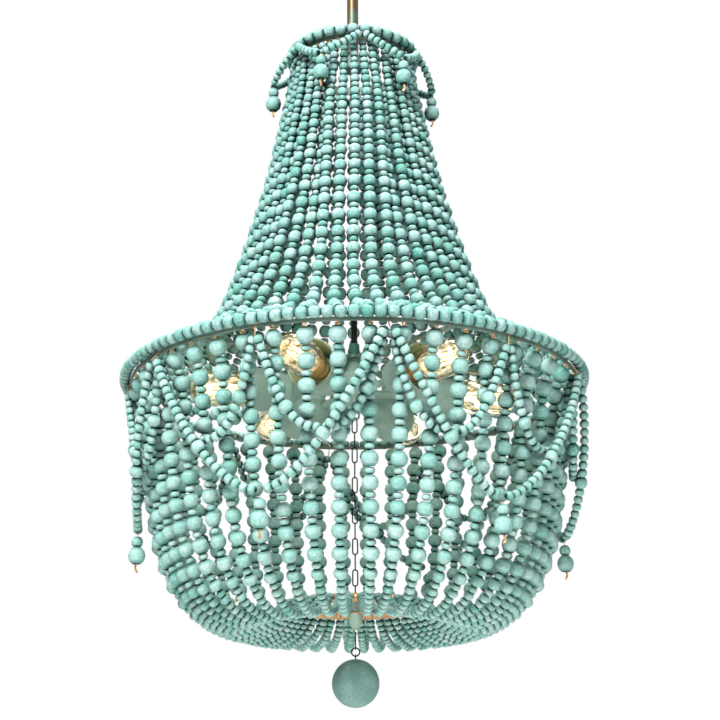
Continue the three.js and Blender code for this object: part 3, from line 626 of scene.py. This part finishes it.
def thread_beads(mesh, points, size_at, sides=10):
    """Threads beads along a line from end to end. size_at(number, share) gives width, height, fullness."""
    line = smooth_line(points)
    lengths = np.concatenate([[0], np.cumsum([(b - a).length for a, b in zip(line, line[1:])])])
    columns = np.array(line).T
    sizes, used = [], 0
    while used < lengths[-1]:
        sizes.append(size_at(len(sizes), used / lengths[-1]))
        used += sizes[-1][1]
    stretch = lengths[-1] / used
    used = 0
    for width, height, fullness in sizes:
        height *= stretch
        near, middle, far = [Vector([np.interp(used + height * share, lengths, column)
                                     for column in columns]) for share in (0.1, 0.5, 0.9)]
        tilt = Vector([chance.uniform(-0.05, 0.05) for axis in range(3)])
        add_bead(mesh, middle, (far - near).normalized() + tilt, width * chance.uniform(0.95, 1.03),
                 height * 0.95, fullness, sides)
        used += height


def blend(start, end, share):
    """The value at a share of the way from start to end, never past either."""
    return start + (end - start) * min(1, max(0, share))


string_count = 48
string_pitch = 360 / string_count
sector_strings = 8
skirt_top = top_band_foot - 1 * mm
skirt_foot = rim_z + 10 * mm
skirt_in = top_band_radius + 4.2 * mm
skirt_out = rim_band_radius - 7.5 * mm
skirt_twist = 3.6

# The outline of the skirt, as pairs of shares: how far down from the hoop, and how far out to the rim.
skirt_shares = [(0, 0), (0.1, 0.03), (0.2, 0.073), (0.41, 0.168), (0.61, 0.291), (0.764, 0.405),
                (0.82, 0.459), (0.88, 0.528), (0.924, 0.603), (0.957, 0.72), (0.981, 0.87), (1, 1)]


def skirt_size(number, share):
    """Width, height and fullness of a bead of the upper strings."""
    if number % 2:
        return blend(11, 12.6, share * 3) * mm, blend(8.6, 9.4, share * 3) * mm, 0.92
    return blend(12.2, 18.8, share * 2.3) * mm, blend(10.8, 18.6, share * 2.1) * mm, 0.99


def string_azimuth(sector, string):
    """The azimuth of a string, counted from the first string of its sector."""
    return (sector * sector_strings - sector_strings / 2 + 0.5 + string) * string_pitch


# Where the strings are crowded at the top, one of each four hangs behind, and the other three spread out.
for sector in range(6):
    mesh = bead_mesh()
    for string in range(sector_strings):
        azimuth = string_azimuth(sector, string)
        group_place = string % 4
        if group_place == 0:
            hidden = chance.randrange(4)
        if group_place == hidden:
            push = chance.uniform(-12, -9.5) * mm
            lean = 0
        else:
            rank = group_place - (group_place > hidden)
            push = chance.uniform(-1.5, 0.4) * mm
            lean = ((rank + 0.5) * 4 / 3 - group_place - 0.5) * string_pitch
        wander = chance.uniform(-0.8, 0.8)
        points = []
        for down, out in skirt_shares:
            crowd = max(0, 1 - out / 0.4) * min(1, 0.35 + down * 3)
            radius = skirt_in + (skirt_out - skirt_in) * out + push * crowd
            sway = lean * crowd + wander * math.sin(down * 7) * (1 - out)
            sway -= skirt_twist * min(1, 2 * (1 - out))
            points.append(place_on(azimuth + sway, radius, skirt_top + (skirt_foot - skirt_top) * down))
        thread_beads(mesh, points, skirt_size)
    finish_piece(f"upper_beads_{sector + 1}", mesh, [green_chalk], "fixture",
                 [f"upper_strings_{sector + 1}"])


# The basket strings. They hang from brass wire loops under the rim band, balls and spacers in turn,
# sag below the bottom ring in a full belly, a little lower at the back, and come up to it in small beads.
basket_top = rim_band_foot - 4.2 * mm
basket_depth = 298.5 * mm
back_sag = 6.5 * mm
ring_low, ring_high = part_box("bottom_ring")
ring_z = (ring_low.z + ring_high.z) / 2
ring_radius = ring_high.x - 3 * mm
basket_out = rim_band_radius - 3.4 * mm
basket_in = ring_radius + 7.9 * mm

# The outline of the basket, as pairs of shares: how far down, and how far out from the bottom ring.
basket_shares = [(0, 1), (0.07, 0.945), (0.2, 0.905), (0.475, 0.85), (0.664, 0.795), (0.817, 0.7),
                 (0.899, 0.617), (0.965, 0.508), (0.996, 0.4), (1, 0.31), (0.96, 0.12)]


def basket_size(number, share):
    """Width, height and fullness of a bead of the basket strings. The balls shrink slowly for six tenths
    of the way, and from there quickly, to small beads like the spacers."""
    if number % 2:
        return blend(13, 11, share * 1.3) * mm, blend(8.6, 8.2, share * 1.3) * mm, 0.85
    width = blend(blend(21.4, 19.4, share / 0.6), 11.8, (share - 0.6) / 0.12)
    height = blend(blend(20.6, 17.4, share / 0.6), 9, (share - 0.6) / 0.12)
    return width * mm, height * mm, 0.98


for sector in range(6):
    mesh = bead_mesh()
    for string in range(sector_strings):
        azimuth = string_azimuth(sector, string)
        wander = chance.uniform(-0.4, 0.4)
        drift = chance.uniform(-1.5, 1.5)
        depth = basket_depth + back_sag * (1 - math.cos(math.radians(azimuth))) / 2
        points = []
        for down, out in basket_shares:
            sway = wander * math.sin(down * 5) + drift * (1 - out)
            points.append(place_on(azimuth + sway, basket_in + (basket_out - basket_in) * out,
                                   basket_top - depth * down))
        points.append(place_on(azimuth + drift, basket_in, ring_z + 2 * mm))
        thread_beads(mesh, points, basket_size, 12)
    finish_piece(f"basket_beads_{sector + 1}", mesh, [blue_chalk], "fixture",
                 [f"basket_strings_{sector + 1}"])


# The wire work, all in bright brass craft wire: a small twisted loop under the hoops at each string's
# end, turned by hand and so never square to its neighbour. Wraps and hooks are of the same wire.

# The wire is a pale warm gold with a pinkish cast in patches, and glints where it bends.
bright_brass = metal_finish("brass craft wire", "#E4C083", "#DDA692", 0.34, 0.9, 4 * mm, 0.14)


def string_loop(mesh, place, azimuth, radius, wire):
    """One of the small upright loops, turned by chance on its string."""
    stand = Matrix.Translation(place) @ turned(azimuth + chance.uniform(-40, 40), "Z") @ turned(90, "X")
    wire_ring(mesh, radius, wire, stand, steps=12, sides=5)


skirt_loop = 2.2 * mm
skirt_loop_wire = 0.7 * mm
basket_loop = 2.1 * mm
basket_loop_wire = 0.95 * mm
mesh = bmesh.new()
for string in range(string_count):
    azimuth = (string + 0.5) * string_pitch
    string_loop(mesh, place_on(azimuth - 2.4, skirt_in - 1 * mm, skirt_top + 0.6 * mm), azimuth,
                skirt_loop, skirt_loop_wire)
    string_loop(mesh, place_on(azimuth, basket_out + 0.4 * mm, basket_top + 2.2 * mm), azimuth,
                basket_loop, basket_loop_wire)
finish_piece("rim_wire_wraps", mesh, [bright_brass], "fixture")


# The bottom ring: a steel ring with two cross bars, a boss and an eye, welded and painted dark green.
# The ends of the string wires are wound all the way round it, and three wraps a string are drawn.
def bent_wire(mesh, points, wire, sides, steps):
    """A round wire along a smooth line, with capped ends, made by extruding a disk along it."""
    line = smooth_line(points, steps)
    along = line[1] - line[0]
    turn = along.to_track_quat("Z", "X").to_matrix().to_4x4()
    run = bmesh.new()
    bmesh.ops.create_circle(run, cap_ends=True, segments=sides, radius=wire,
                            matrix=Matrix.Translation(line[0]) @ turn)
    end = list(run.faces)[0]
    for number in range(1, len(line)):
        made = bmesh.ops.extrude_face_region(run, geom=[end], use_keep_orig=number == 1)["geom"]
        end = [item for item in made if isinstance(item, bmesh.types.BMFace)][0]
        new_along = line[min(number + 1, len(line) - 1)] - line[number - 1]
        swing = along.rotation_difference(new_along).to_matrix().to_4x4()
        bmesh.ops.transform(run, verts=list(end.verts), matrix=Matrix.Translation(line[number]) @ swing
                            @ Matrix.Translation(-line[number - 1]))
        along = new_along
    bmesh.ops.recalc_face_normals(run, faces=list(run.faces))
    run.to_mesh(wire_data)
    run.free()
    mesh.from_mesh(wire_data)


wire_data = bpy.data.meshes.new("one wire")
eye_radius = 3 * mm
eye_wire = 0.8 * mm
eye_reach = eye_radius + eye_wire


def wire_eye(mesh, height, across_x=False, steps=28):
    """A closed eye of thin wire that stands on the axis."""
    wire_ring(mesh, eye_radius, eye_wire, upright(height, across_x), steps=steps, sides=8)


ring_wire = 3 * mm
bar_wire = 2 * mm
boss_radius = 7 * mm
boss_reach = 6 * mm
edge = 1 * mm
mesh = bmesh.new()
wire_ring(mesh, ring_radius, ring_wire, Matrix.Translation((0, 0, ring_z)), steps=120, sides=12)
for azimuth in (7.5, 97.5):
    bent_wire(mesh, [place_on(azimuth, -ring_radius, ring_z), place_on(azimuth, ring_radius, ring_z)],
              bar_wire, 12, 1)
turn_outline(mesh, [(0, ring_z - boss_reach)]
             + arc(boss_radius - edge, ring_z - boss_reach + edge, edge, -90, 0, 3)
             + arc(boss_radius - edge, ring_z + boss_reach - edge, edge, 0, 90, 3)
             + [(0, ring_z + boss_reach)], 36)
wire_eye(mesh, ring_high.z - eye_reach, steps=24)
finish_piece("bottom_hoop", mesh, [dark_sage_paint], "fixture", ["bottom_ring"])

# Each wrap that is drawn stands for a few turns of the thin wire, and so is thicker than the wire.
wraps_per_string = 3
wrap_radius = 4.1 * mm
wrap_wire = 1.8 * mm
mesh = bmesh.new()
for wrap in range(wraps_per_string * string_count):
    azimuth = (wrap / wraps_per_string + 0.15) * string_pitch
    tilt = turned(chance.uniform(-14, 14), "Z")
    stand = turned(azimuth, "Z") @ Matrix.Translation((0, -ring_radius, ring_z))
    wire_ring(mesh, wrap_radius, wrap_wire, stand @ tilt @ turned(90, "Y"), steps=12, sides=6)
finish_piece("bottom_wire_wraps", mesh, [bright_brass], "fixture")


# The swags: strings of small barrel beads on wire, with a bigger ball part-way down each arm. Short
# round ones hang behind long pointed ones outside the rim, and small pointed ones round the top row.
def swag_size(width, height, big_at=()):
    """Sizes along a swag, with a big ball where the share first passes each given place."""
    waiting = list(big_at)

    def size(number, share):
        if waiting and share >= waiting[0][0]:
            ball = waiting.pop(0)[1]
            return ball, ball * 0.95, 0.95
        return width * chance.uniform(0.94, 1.04), height, 0.88
    return size


peak_azimuth = 7.5
hook_pitch = 30
swag_drop = 24 * mm
arm_ball = 17 * mm


def swag_points(start, end, peak, lowest, sag, in_power, count=12):
    """Places along a swag arm, from one azimuth to another; sag gives how far down each share of it is."""
    points = []
    for i in range(count + 1):
        down = sag(i / count)
        radius = peak[0] + (lowest[0] - peak[0]) * down ** in_power
        height = peak[1] + (lowest[1] - peak[1]) * down
        points.append(place_on(start + (end - start) * i / count, radius, height))
    return points


# Each outline's ends are a radius and a height: where it hangs, and its lowest place.
short_radius = rim_band_radius + 1.2 * mm
short_peak = (short_radius, rim_z - swag_drop + 5 * mm)
short_lowest = (short_radius - 14 * mm, rim_z - swag_drop - 104 * mm)
mesh = bead_mesh()
for i in range(12):
    start = peak_azimuth + hook_pitch * i
    points = swag_points(start + 0.5, start + hook_pitch - 0.5, short_peak, short_lowest,
                         lambda share: 1 - abs(2 * share - 1) ** 2.6, 1, 16)
    thread_beads(mesh, points, swag_size(11.6 * mm, 10.4 * mm, [(0.26, arm_ball), (0.7, arm_ball)]), 10)
finish_piece("short_swag_beads", mesh, [blue_chalk], "fixture", ["short_swags"])


def pointed_swags(peak, foot, first, last, hang, in_power, width, height, big_at=()):
    """Six pointed swags. The arms of each fall from hooks 60 degrees apart and meet half-way between
    them. The higher the power in hang, the sooner an arm falls, and in_power keeps it out for longer."""
    mesh = bead_mesh()
    for i in range(6):
        azimuth = peak_azimuth + 2 * hook_pitch * i
        for side in (-1, 1):
            points = swag_points(azimuth + side * first, azimuth + side * last, peak, foot,
                                 lambda share: 1 - (1 - share) ** hang, in_power)
            thread_beads(mesh, points, swag_size(width, height, big_at), 10)
    return mesh


long_peak = (298.4 * mm, rim_z - swag_drop + 3 * mm)
long_foot = (272 * mm, rim_z - swag_drop - 168 * mm)
mesh = pointed_swags(long_peak, long_foot, 1.1, 29, 1.75, 1.9, 12 * mm, 10.8 * mm, [(0.55, arm_ball)])
finish_piece("long_swag_beads", mesh, [blue_chalk], "fixture", ["long_swags"])

top_peak = (top_row_radius + 9.5 * mm, top_z - 11 * mm)
top_foot = (top_row_radius + 25 * mm, top_z - 45 * mm)
mesh = pointed_swags(top_peak, top_foot, 1.5, 28.5, 1.25, 1, 11.4 * mm, 10 * mm)
finish_piece("top_swag_beads", mesh, [green_chalk], "fixture", ["top_swags"])

# The hooks come over the rim band from inside. Every other one also carries two arms of long swags, and
# reaches further out. Six small ones on the top hoop carry its swags.
hook_wire = 0.8 * mm
hook_foot = rim_z - 20 * mm
long_hook_reach = 301.6 * mm
short_hook_reach = 291 * mm
mesh = bmesh.new()
for i in range(12):
    azimuth = peak_azimuth + hook_pitch * i
    reach = short_hook_reach if i % 2 else long_hook_reach
    bent_wire(mesh, [place_on(azimuth, rim_band_radius - 4 * mm, rim_band_foot + 2 * mm),
                     place_on(azimuth, rim_band_radius - 3.6 * mm, rim_band_top + 1 * mm),
                     place_on(azimuth, rim_band_radius + 1 * mm, rim_band_top - 2.6 * mm),
                     place_on(azimuth, rim_band_radius + 2.4 * mm, rim_band_foot),
                     place_on(azimuth, reach, hook_foot)], hook_wire, 6, 4)
for i in range(6):
    azimuth = peak_azimuth + 2 * hook_pitch * i
    bent_wire(mesh, [place_on(azimuth, top_band_radius + 1 * mm, top_band_foot + 1.6 * mm),
                     place_on(azimuth, top_row_radius + 4 * mm, top_band_foot + 1 * mm),
                     place_on(azimuth, top_peak[0], top_peak[1] + 1 * mm)], hook_wire, 6, 4)
finish_piece("swag_hooks", mesh, [bright_brass], "fixture")


# The pendants at the points of the pointed swags: a bead and a ball on one wire, closed below by a
# crimped tail of brass wire. Each swings by itself from its swag's point.
def paint_faces(mesh, first, material):
    """Gives the faces from a number onwards one of the piece's materials."""
    mesh.faces.ensure_lookup_table()
    for face in mesh.faces[first:]:
        face.material_index = material


bead_width = 14.6 * mm
bead_height = 13.2 * mm
ball_width = 21.6 * mm
ball_height = 20.8 * mm
pin_wire = 0.6 * mm
tail_wire = 1.5 * mm
tail_drop = 10 * mm


def add_pendant(group, number, azimuth, material):
    """One pendant of a group, on the body of the same name and in place of its node."""
    body = f"{group}_pendant_{number}"
    low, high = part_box(body)
    radius = math.hypot((low.x + high.x) / 2, (low.y + high.y) / 2)
    down = Vector((0, 0, -1))
    bead_z = high.z - 0.6 * mm - bead_height / 2
    ball_z = bead_z - bead_height / 2 - ball_height / 2
    mesh = bead_mesh()
    add_bead(mesh, place_on(azimuth, radius, bead_z), down, bead_width, bead_height, 0.9, 14)
    add_bead(mesh, place_on(azimuth, radius, ball_z), down, ball_width, ball_height, 0.95, 18)
    beads = len(mesh.faces)
    bent_wire(mesh, [place_on(azimuth, radius, high.z + 3 * mm), place_on(azimuth, radius, high.z - 3 * mm)],
              pin_wire, 6, 1)
    tail_top = ball_z - tail_drop
    bent_wire(mesh, [place_on(azimuth, radius, tail_top),
                     place_on(azimuth, radius + 1.5 * mm, tail_top - 4 * mm),
                     place_on(azimuth + 0.3, radius + 0.5 * mm, tail_top - 8 * mm),
                     place_on(azimuth - 0.2, radius - 1 * mm, tail_top - 10 * mm)], tail_wire, 6, 4)
    paint_faces(mesh, beads, 1)
    finish_piece(f"{group}_pendant_beads_{number}", mesh, [material, bright_brass], body, [body])


for i in range(6):
    azimuth = peak_azimuth + hook_pitch * (2 * i - 1)
    add_pendant("top", i + 1, azimuth, green_chalk)
    add_pendant("rim", i + 1, azimuth, blue_chalk)


# The lamps: a turned hub on the rod with six short arms of pipe, and on each arm a spun cone cup round
# its lampholder, all in the same satin sage paint. They point straight out, just below the rim's height.
lamp_azimuths = [-22.5 + 60 * i for i in range(6)]
hub_low, hub_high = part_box("lamp_hub")
lamp_z = rim_z - 7 * mm
hub_foot = rim_z - 32 * mm
hub_radius = 24 * mm
bowl_depth = 10.6 * mm
neck = 9 * mm
socket_floor = hub_high.z - 10 * mm
pipe_end = 65.7 * mm
pipe_radius = 4.8 * mm
hub_eye = 6 * mm
hub_eye_wire = 1.4 * mm
bowl = [math.radians(15 * i) for i in range(1, 7)]
mesh = bmesh.new()
turn_outline(mesh, [(0, hub_foot), (neck, hub_foot)]
             + [(blend(neck, hub_radius, math.sin(turn)), hub_foot + bowl_depth * (1 - math.cos(turn)))
                for turn in bowl]
             + arc(hub_radius - 8 * mm, lamp_z + 18 * mm, 8 * mm, 0, 75, 6)
             + [(neck + 3 * mm, hub_high.z - 7 * mm), (neck, hub_high.z - 4.5 * mm),
                (neck, hub_high.z - 0.6 * mm), (neck - 0.6 * mm, hub_high.z), (rod_hole, hub_high.z),
                (rod_hole, socket_floor), (0, socket_floor)], 64)
for azimuth in lamp_azimuths:
    bent_wire(mesh, [place_on(azimuth, hub_radius - 4 * mm, lamp_z), place_on(azimuth, pipe_end, lamp_z)],
              pipe_radius, 20, 1)
wire_ring(mesh, hub_eye, hub_eye_wire, upright(hub_low.z + hub_eye + hub_eye_wire), steps=32, sides=10)
finish_piece("turned_hub", mesh, [sage_paint], "fixture", ["lamp_hub"])


def lamp_place(azimuth):
    """Lays a shape that was turned about Z so that Z points outwards at an azimuth, at the lamps' height."""
    return Matrix.Translation((0, 0, lamp_z)) @ turned(azimuth, "Z") @ turned(90, "X")


# A cup's lengths are counted outwards from the chandelier's axis, from its tail to its mouth.
cup_mouth = 140 * mm
cup_radius = 32 * mm
cup_wall = 1.4 * mm
cup_lip = 1.2 * mm
cup_back = 66 * mm
tail_radius = 8 * mm
tail_end = cup_back + 4 * mm
holder_floor = 86 * mm
holder_mouth = 112 * mm
holder_outer = 17.2 * mm
holder_inner = 14.2 * mm
shoulder = 22 * mm
flare = 3 * mm
for i, azimuth in enumerate(lamp_azimuths):
    mesh = bmesh.new()
    turn_outline(mesh, [(0, cup_back), (tail_radius - 1 * mm, cup_back), (tail_radius, cup_back + 1 * mm),
                        (tail_radius, cup_back + 3 * mm)]
                 + [(tail_radius + 1 * mm + flare * k / 4, tail_end + flare * k * k / 16)
                    for k in range(1, 4)]
                 + arc(shoulder - 5 * mm, holder_floor + 1 * mm, 5 * mm, -70, -8, 6)
                 + [(cup_radius - cup_wall, cup_mouth - 3 * mm)]
                 + arc(cup_radius - cup_lip, cup_mouth - cup_lip, cup_lip, 0, 180, 6)
                 + [(shoulder - cup_wall, holder_floor), (holder_outer, holder_floor),
                    (holder_outer, holder_mouth - 1 * mm), (holder_outer - 0.8 * mm, holder_mouth),
                    (holder_inner, holder_mouth), (holder_inner, holder_floor), (0, holder_floor)],
                 64, lamp_place(azimuth))
    finish_piece(f"spun_cup_{i + 1}", mesh, [sage_paint], "fixture", [f"lamp_cup_{i + 1}"])


# The bulbs: long clear glass with a rounded tip on a rolled brass screw cap, with a squirrel cage of
# carbon filament inside that glows on its pressed glass mount. Each screws into its lampholder.
def bulb_glass():
    """Thin glass with a faint amber tint and slow waves from blowing, which bend the filament behind it."""
    material, tree, output = new_material("thin clear amber glass")
    place = add_node(tree, "TexCoord").outputs["Object"]
    waves = add_node(tree, "TexNoise", {"Vector": place, "Scale": 1 / (14 * mm), "Detail": 2.0})
    bump = add_node(tree, "Bump", {"Height": waves.outputs["Fac"], "Strength": 0.05, "Distance": 0.6 * mm})
    shader = add_node(tree, "BsdfPrincipled", {"Base Color": srgb("#FBEFD6"), "Roughness": 0.03, "IOR": 1.45,
                                               "Transmission Weight": 1.0, "Normal": bump.outputs[0]})
    tree.links.new(shader.outputs[0], output.inputs["Surface"])
    return material


def warm_glow():
    """The glare round a hot filament, as the eye and a camera see it: uneven, part clear and part light."""
    material, tree, output = new_material("warm light inside the glass")
    place = add_node(tree, "TexCoord").outputs["Object"]
    uneven = add_node(tree, "TexNoise", {"Vector": place, "Scale": 1 / (6 * mm), "Detail": 3.0})
    share = add_node(tree, "MapRange", {"Value": uneven.outputs["Fac"], "From Min": 0.42, "From Max": 0.7,
                                        "To Min": 0.0, "To Max": 0.45})
    clear = add_node(tree, "BsdfTransparent")
    light = add_node(tree, "Emission", {"Color": srgb("#FFF4DC"), "Strength": 2.4})
    both = add_node(tree, "MixShader", {0: share.outputs[0], 1: clear.outputs[0], 2: light.outputs[0]})
    tree.links.new(both.outputs[0], output.inputs["Surface"])
    return material


def glowing_filament():
    """Carbon thread at a yellow heat, brighter in some places than in others."""
    material, tree, output = new_material("glowing carbon filament")
    place = add_node(tree, "TexCoord").outputs["Object"]
    uneven = add_node(tree, "TexNoise", {"Vector": place, "Scale": 1 / (6 * mm), "Detail": 2.0})
    heat = add_node(tree, "MapRange", {"Value": uneven.outputs["Fac"], "To Min": 7.0, "To Max": 13.0})
    light = add_node(tree, "Emission", {"Color": srgb("#FFCB7A"), "Strength": heat.outputs[0]})
    tree.links.new(light.outputs[0], output.inputs["Surface"])
    return material


# The mount that holds the cage is milky, and its warm colour is the filament's light painted on it. The cap
# is new brass, bright and smooth, a little browner where hands have touched it.
clear_glass = bulb_glass()
filament_glow = glowing_filament()
glow_haze = warm_glow()
# The mount's warm tones are painted filament light.
pressed_glass = painted_metal_finish("milky pressed glass mount", "#F6E3C4", "#EBCF9E", "#D8B27A")
cap_brass = metal_finish("rolled brass screw cap", "#C2A46A", "#8B7446", 0.32, 1.0, 6 * mm, 0.1)
bulb_materials = [clear_glass, cap_brass, filament_glow, pressed_glass, glow_haze]

# A bulb's lengths are counted from the axis too, from the cap's contact to the glass tip.
bulb_radius = 22.5 * mm
bulb_tip = 215 * mm
bulb_neck = 14.4 * mm
glass_wall = 0.7 * mm
glass_foot = 115 * mm
tube_start = 150 * mm
tip_start = bulb_tip - bulb_radius
cap_start = 86.4 * mm
cap_end = glass_foot - 0.9 * mm
thread_start = 90 * mm
thread_step = 2.2 * mm
crest = 13.2 * mm
root = 12.2 * mm
mount_foot = glass_foot + 0.2 * mm
mount_tip = 142 * mm
cage_radius = 6.5 * mm
filament_wire = 0.8 * mm
haze_radius = 17.5 * mm
for i, azimuth in enumerate(lamp_azimuths):
    body = f"bulb_{i + 1}"
    laid = lamp_place(azimuth)
    swell = [(blend(bulb_neck, bulb_radius, 0.5 - 0.5 * math.cos(math.pi * k / 8)),
              blend(glass_foot, tube_start, k / 8)) for k in range(9)]
    shell = swell + arc(0, tip_start, bulb_radius, 0, 84, 9)
    shell += [(1.4 * mm, bulb_tip - 0.2 * mm), (0, bulb_tip)]
    inner = [(max(0, radius - glass_wall), height - (glass_wall if radius < 8 * mm else 0))
             for radius, height in shell]
    mesh = bmesh.new()
    turn_outline(mesh, [(0, glass_foot - 1 * mm)] + shell, 40, laid, 0)
    turn_outline(mesh, [(0, glass_foot)] + inner, 40, laid, 0)
    inner_faces = list(mesh.faces)[len(mesh.faces) // 2:]
    bmesh.ops.reverse_faces(mesh, faces=inner_faces)
    threads = [(crest if k % 2 else root, thread_start + thread_step * k) for k in range(10)]
    turn_outline(mesh, [(0, cap_start), (5.6 * mm, cap_start), (6 * mm, 88 * mm), (12 * mm, 89 * mm)]
                 + threads + [(13 * mm, 112 * mm), (bulb_neck, 114.4 * mm), (13.8 * mm, cap_end),
                              (0, cap_end)], 40, laid, 1)
    cage_start = len(mesh.faces)
    for wire in range(8):
        low_turn = math.radians(45 * wire)
        mid_turn = math.radians(45 * wire + 22.5)
        high_turn = low_turn + 0.8
        points = [Vector((cage_radius * out * math.cos(turn), cage_radius * out * math.sin(turn), height))
                  for out, turn, height in ((0.6, low_turn, mount_tip), (1, mid_turn, 168 * mm),
                                            (0.8, high_turn, 196 * mm))]
        bent_wire(mesh, [laid @ point for point in points], filament_wire, 5, 4)
    paint_faces(mesh, cage_start, 2)
    turn_outline(mesh, [(0, mount_foot), (12.6 * mm, mount_foot), (7 * mm, 124 * mm), (3 * mm, 134 * mm),
                        (2 * mm, mount_tip), (0, mount_tip)], 24, laid, 3)
    haze = [(0, 128 * mm), (7 * mm, 132 * mm), (15 * mm, 148 * mm), (haze_radius, 172 * mm)]
    turn_outline(mesh, haze + arc(0, 188 * mm, haze_radius, 0, 84, 7) + [(0, 205.5 * mm)], 24, laid, 4)
    finish_piece(f"filament_bulb_{i + 1}", mesh, bulb_materials, body, [body])


# The chain on the axis: open steel links, each turned a quarter from the last, from the hub's eye down
# to the eye of the bottom hoop.
chain_low, chain_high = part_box("chain")
chain_wire = 0.9 * mm
chain_radius = 3.2 * mm
link_count = 12
overlap = 2.4 * chain_wire
outer_length = (chain_high.z - chain_low.z + (link_count - 1) * overlap) / link_count
mesh = bmesh.new()
for i in range(link_count):
    middle_z = chain_high.z - outer_length / 2 - i * (outer_length - overlap)
    wire_ring(mesh, chain_radius, chain_wire,
              Matrix.Translation((0, 0, middle_z)) @ turned(90 * (i % 2), "Z") @ on_end,
              straight=outer_length - 2 * (chain_radius + chain_wire), steps=20, sides=7)
finish_piece("open_link_chain", mesh, [blackened_steel], "fixture", ["chain"])


# The drop: a small painted steel cap under the bottom ring, a wire hook in its eye, a split ring in the
# hook, and the big turned wooden ball, whose thin paint is rubbed along the grain.
cap_low, cap_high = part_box("bottom_cap")
cap_radius = cap_high.x
cap_depth = 18 * mm
cap_side = 5 * mm
cap_foot = cap_high.z - cap_depth
cap_round = [math.radians(turn) for turn in range(0, 84, 9)]
mesh = bmesh.new()
turn_outline(mesh, [(0, cap_high.z), (cap_radius - 0.5 * mm, cap_high.z),
                    (cap_radius, cap_high.z - 0.6 * mm)]
             + [(cap_radius * math.cos(turn), cap_foot + (cap_depth - cap_side) * (1 - math.sin(turn)))
                for turn in cap_round] + [(0, cap_foot)], 48)
wire_eye(mesh, cap_low.z + eye_reach)
finish_piece("ring_cap", mesh, [sage_paint], "fixture", ["bottom_cap"])

hook_low, hook_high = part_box("drop_hook")
shank_inset = 6.6 * mm
mesh = bmesh.new()
wire_eye(mesh, hook_high.z - eye_reach, True)
wire_eye(mesh, hook_low.z + eye_reach, True)
bent_wire(mesh, [Vector((0, 0, hook_high.z - shank_inset)), Vector((0, 0, hook_low.z + shank_inset))],
          eye_wire, 8, 1)
finish_piece("wire_hook", mesh, [blackened_steel], "hook", ["drop_hook"])

split_low, split_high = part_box("split_ring")
split_z = (split_low.z + split_high.z) / 2
split_radius = 5 * mm
split_wire = 0.85 * mm
mesh = bmesh.new()
for lay in (-0.5 * mm, 0.5 * mm):
    wire_ring(mesh, split_radius, split_wire, Matrix.Translation((0, lay, 0)) @ upright(split_z),
              steps=40, sides=8)
finish_piece("double_split_ring", mesh, [blackened_steel], "ball", ["split_ring"])


def rubbed_ball_paint():
    """Thin chalky paint on a turned wooden ball, rubbed darker along the upright grain and paler where it
    was knocked. The grain, half a millimetre wide, is too fine to show and is drawn 2.6 mm wide."""
    material, tree, output = new_material("thin turquoise paint rubbed on turned wood")
    place = add_node(tree, "TexCoord").outputs["Object"]
    stretched = add_node(tree, "Mapping", {"Vector": place, "Scale": (1, 1, 0.5)})
    grain = add_node(tree, "TexNoise", {"Vector": stretched.outputs[0], "Scale": 1 / (2.6 * mm),
                                        "Detail": 6.0, "Roughness": 0.7})
    clouds = add_node(tree, "TexNoise", {"Vector": place, "Scale": 1 / (22 * mm), "Detail": 3.0})
    knocks = add_node(tree, "TexNoise", {"Vector": place, "Scale": 1 / (3.2 * mm), "Detail": 4.0})
    lines = add_node(tree, "MapRange", {"Value": grain.outputs["Fac"], "From Min": 0.45, "From Max": 0.7})
    patch = add_node(tree, "MapRange", {"Value": clouds.outputs["Fac"], "From Min": 0.35, "From Max": 0.65})
    plain = add_node(tree, "Mix", {0: patch.outputs[0], 6: srgb("#7FA79E"), 7: srgb("#9CBFB6")},
                     data_type="RGBA")
    lined = add_node(tree, "Mix", {0: lines.outputs[0], 6: plain.outputs[2], 7: srgb("#6A998F")},
                     data_type="RGBA")
    knocked = add_node(tree, "MapRange", {"Value": knocks.outputs["Fac"], "From Min": 0.68,
                                          "From Max": 0.74})
    colour = add_node(tree, "Mix", {0: knocked.outputs[0], 6: lined.outputs[2], 7: srgb("#C9DAD2")},
                      data_type="RGBA")
    bump = add_node(tree, "Bump", {"Height": grain.outputs["Fac"], "Strength": 0.3, "Distance": 0.3 * mm})
    shader = add_node(tree, "BsdfPrincipled", {"Base Color": colour.outputs[2], "Roughness": 0.72,
                                               "Specular IOR Level": 0.35, "Normal": bump.outputs[0]})
    tree.links.new(shader.outputs[0], output.inputs["Surface"])
    return material


ball_low, ball_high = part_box("drop_ball")
ball_radius = ball_high.x
ball_z = ball_low.z + ball_radius
ball_top = ball_z + ball_radius
mesh = bmesh.new()
turn_outline(mesh, [(0, ball_z - ball_radius)] + arc(0, ball_z, ball_radius, -87, 87, 40)
             + [(1.4 * mm, ball_top - 0.4 * mm), (0, ball_top - 1.4 * mm)], 72)
ball_faces = len(mesh.faces)
wire_eye(mesh, ball_high.z - eye_reach, True)
paint_faces(mesh, ball_faces, 1)
finish_piece("turned_ball", mesh, [rubbed_ball_paint(), blackened_steel], "ball", ["drop_ball"])


bpy.data.meshes.remove(bead_data)
bpy.data.meshes.remove(wire_data)
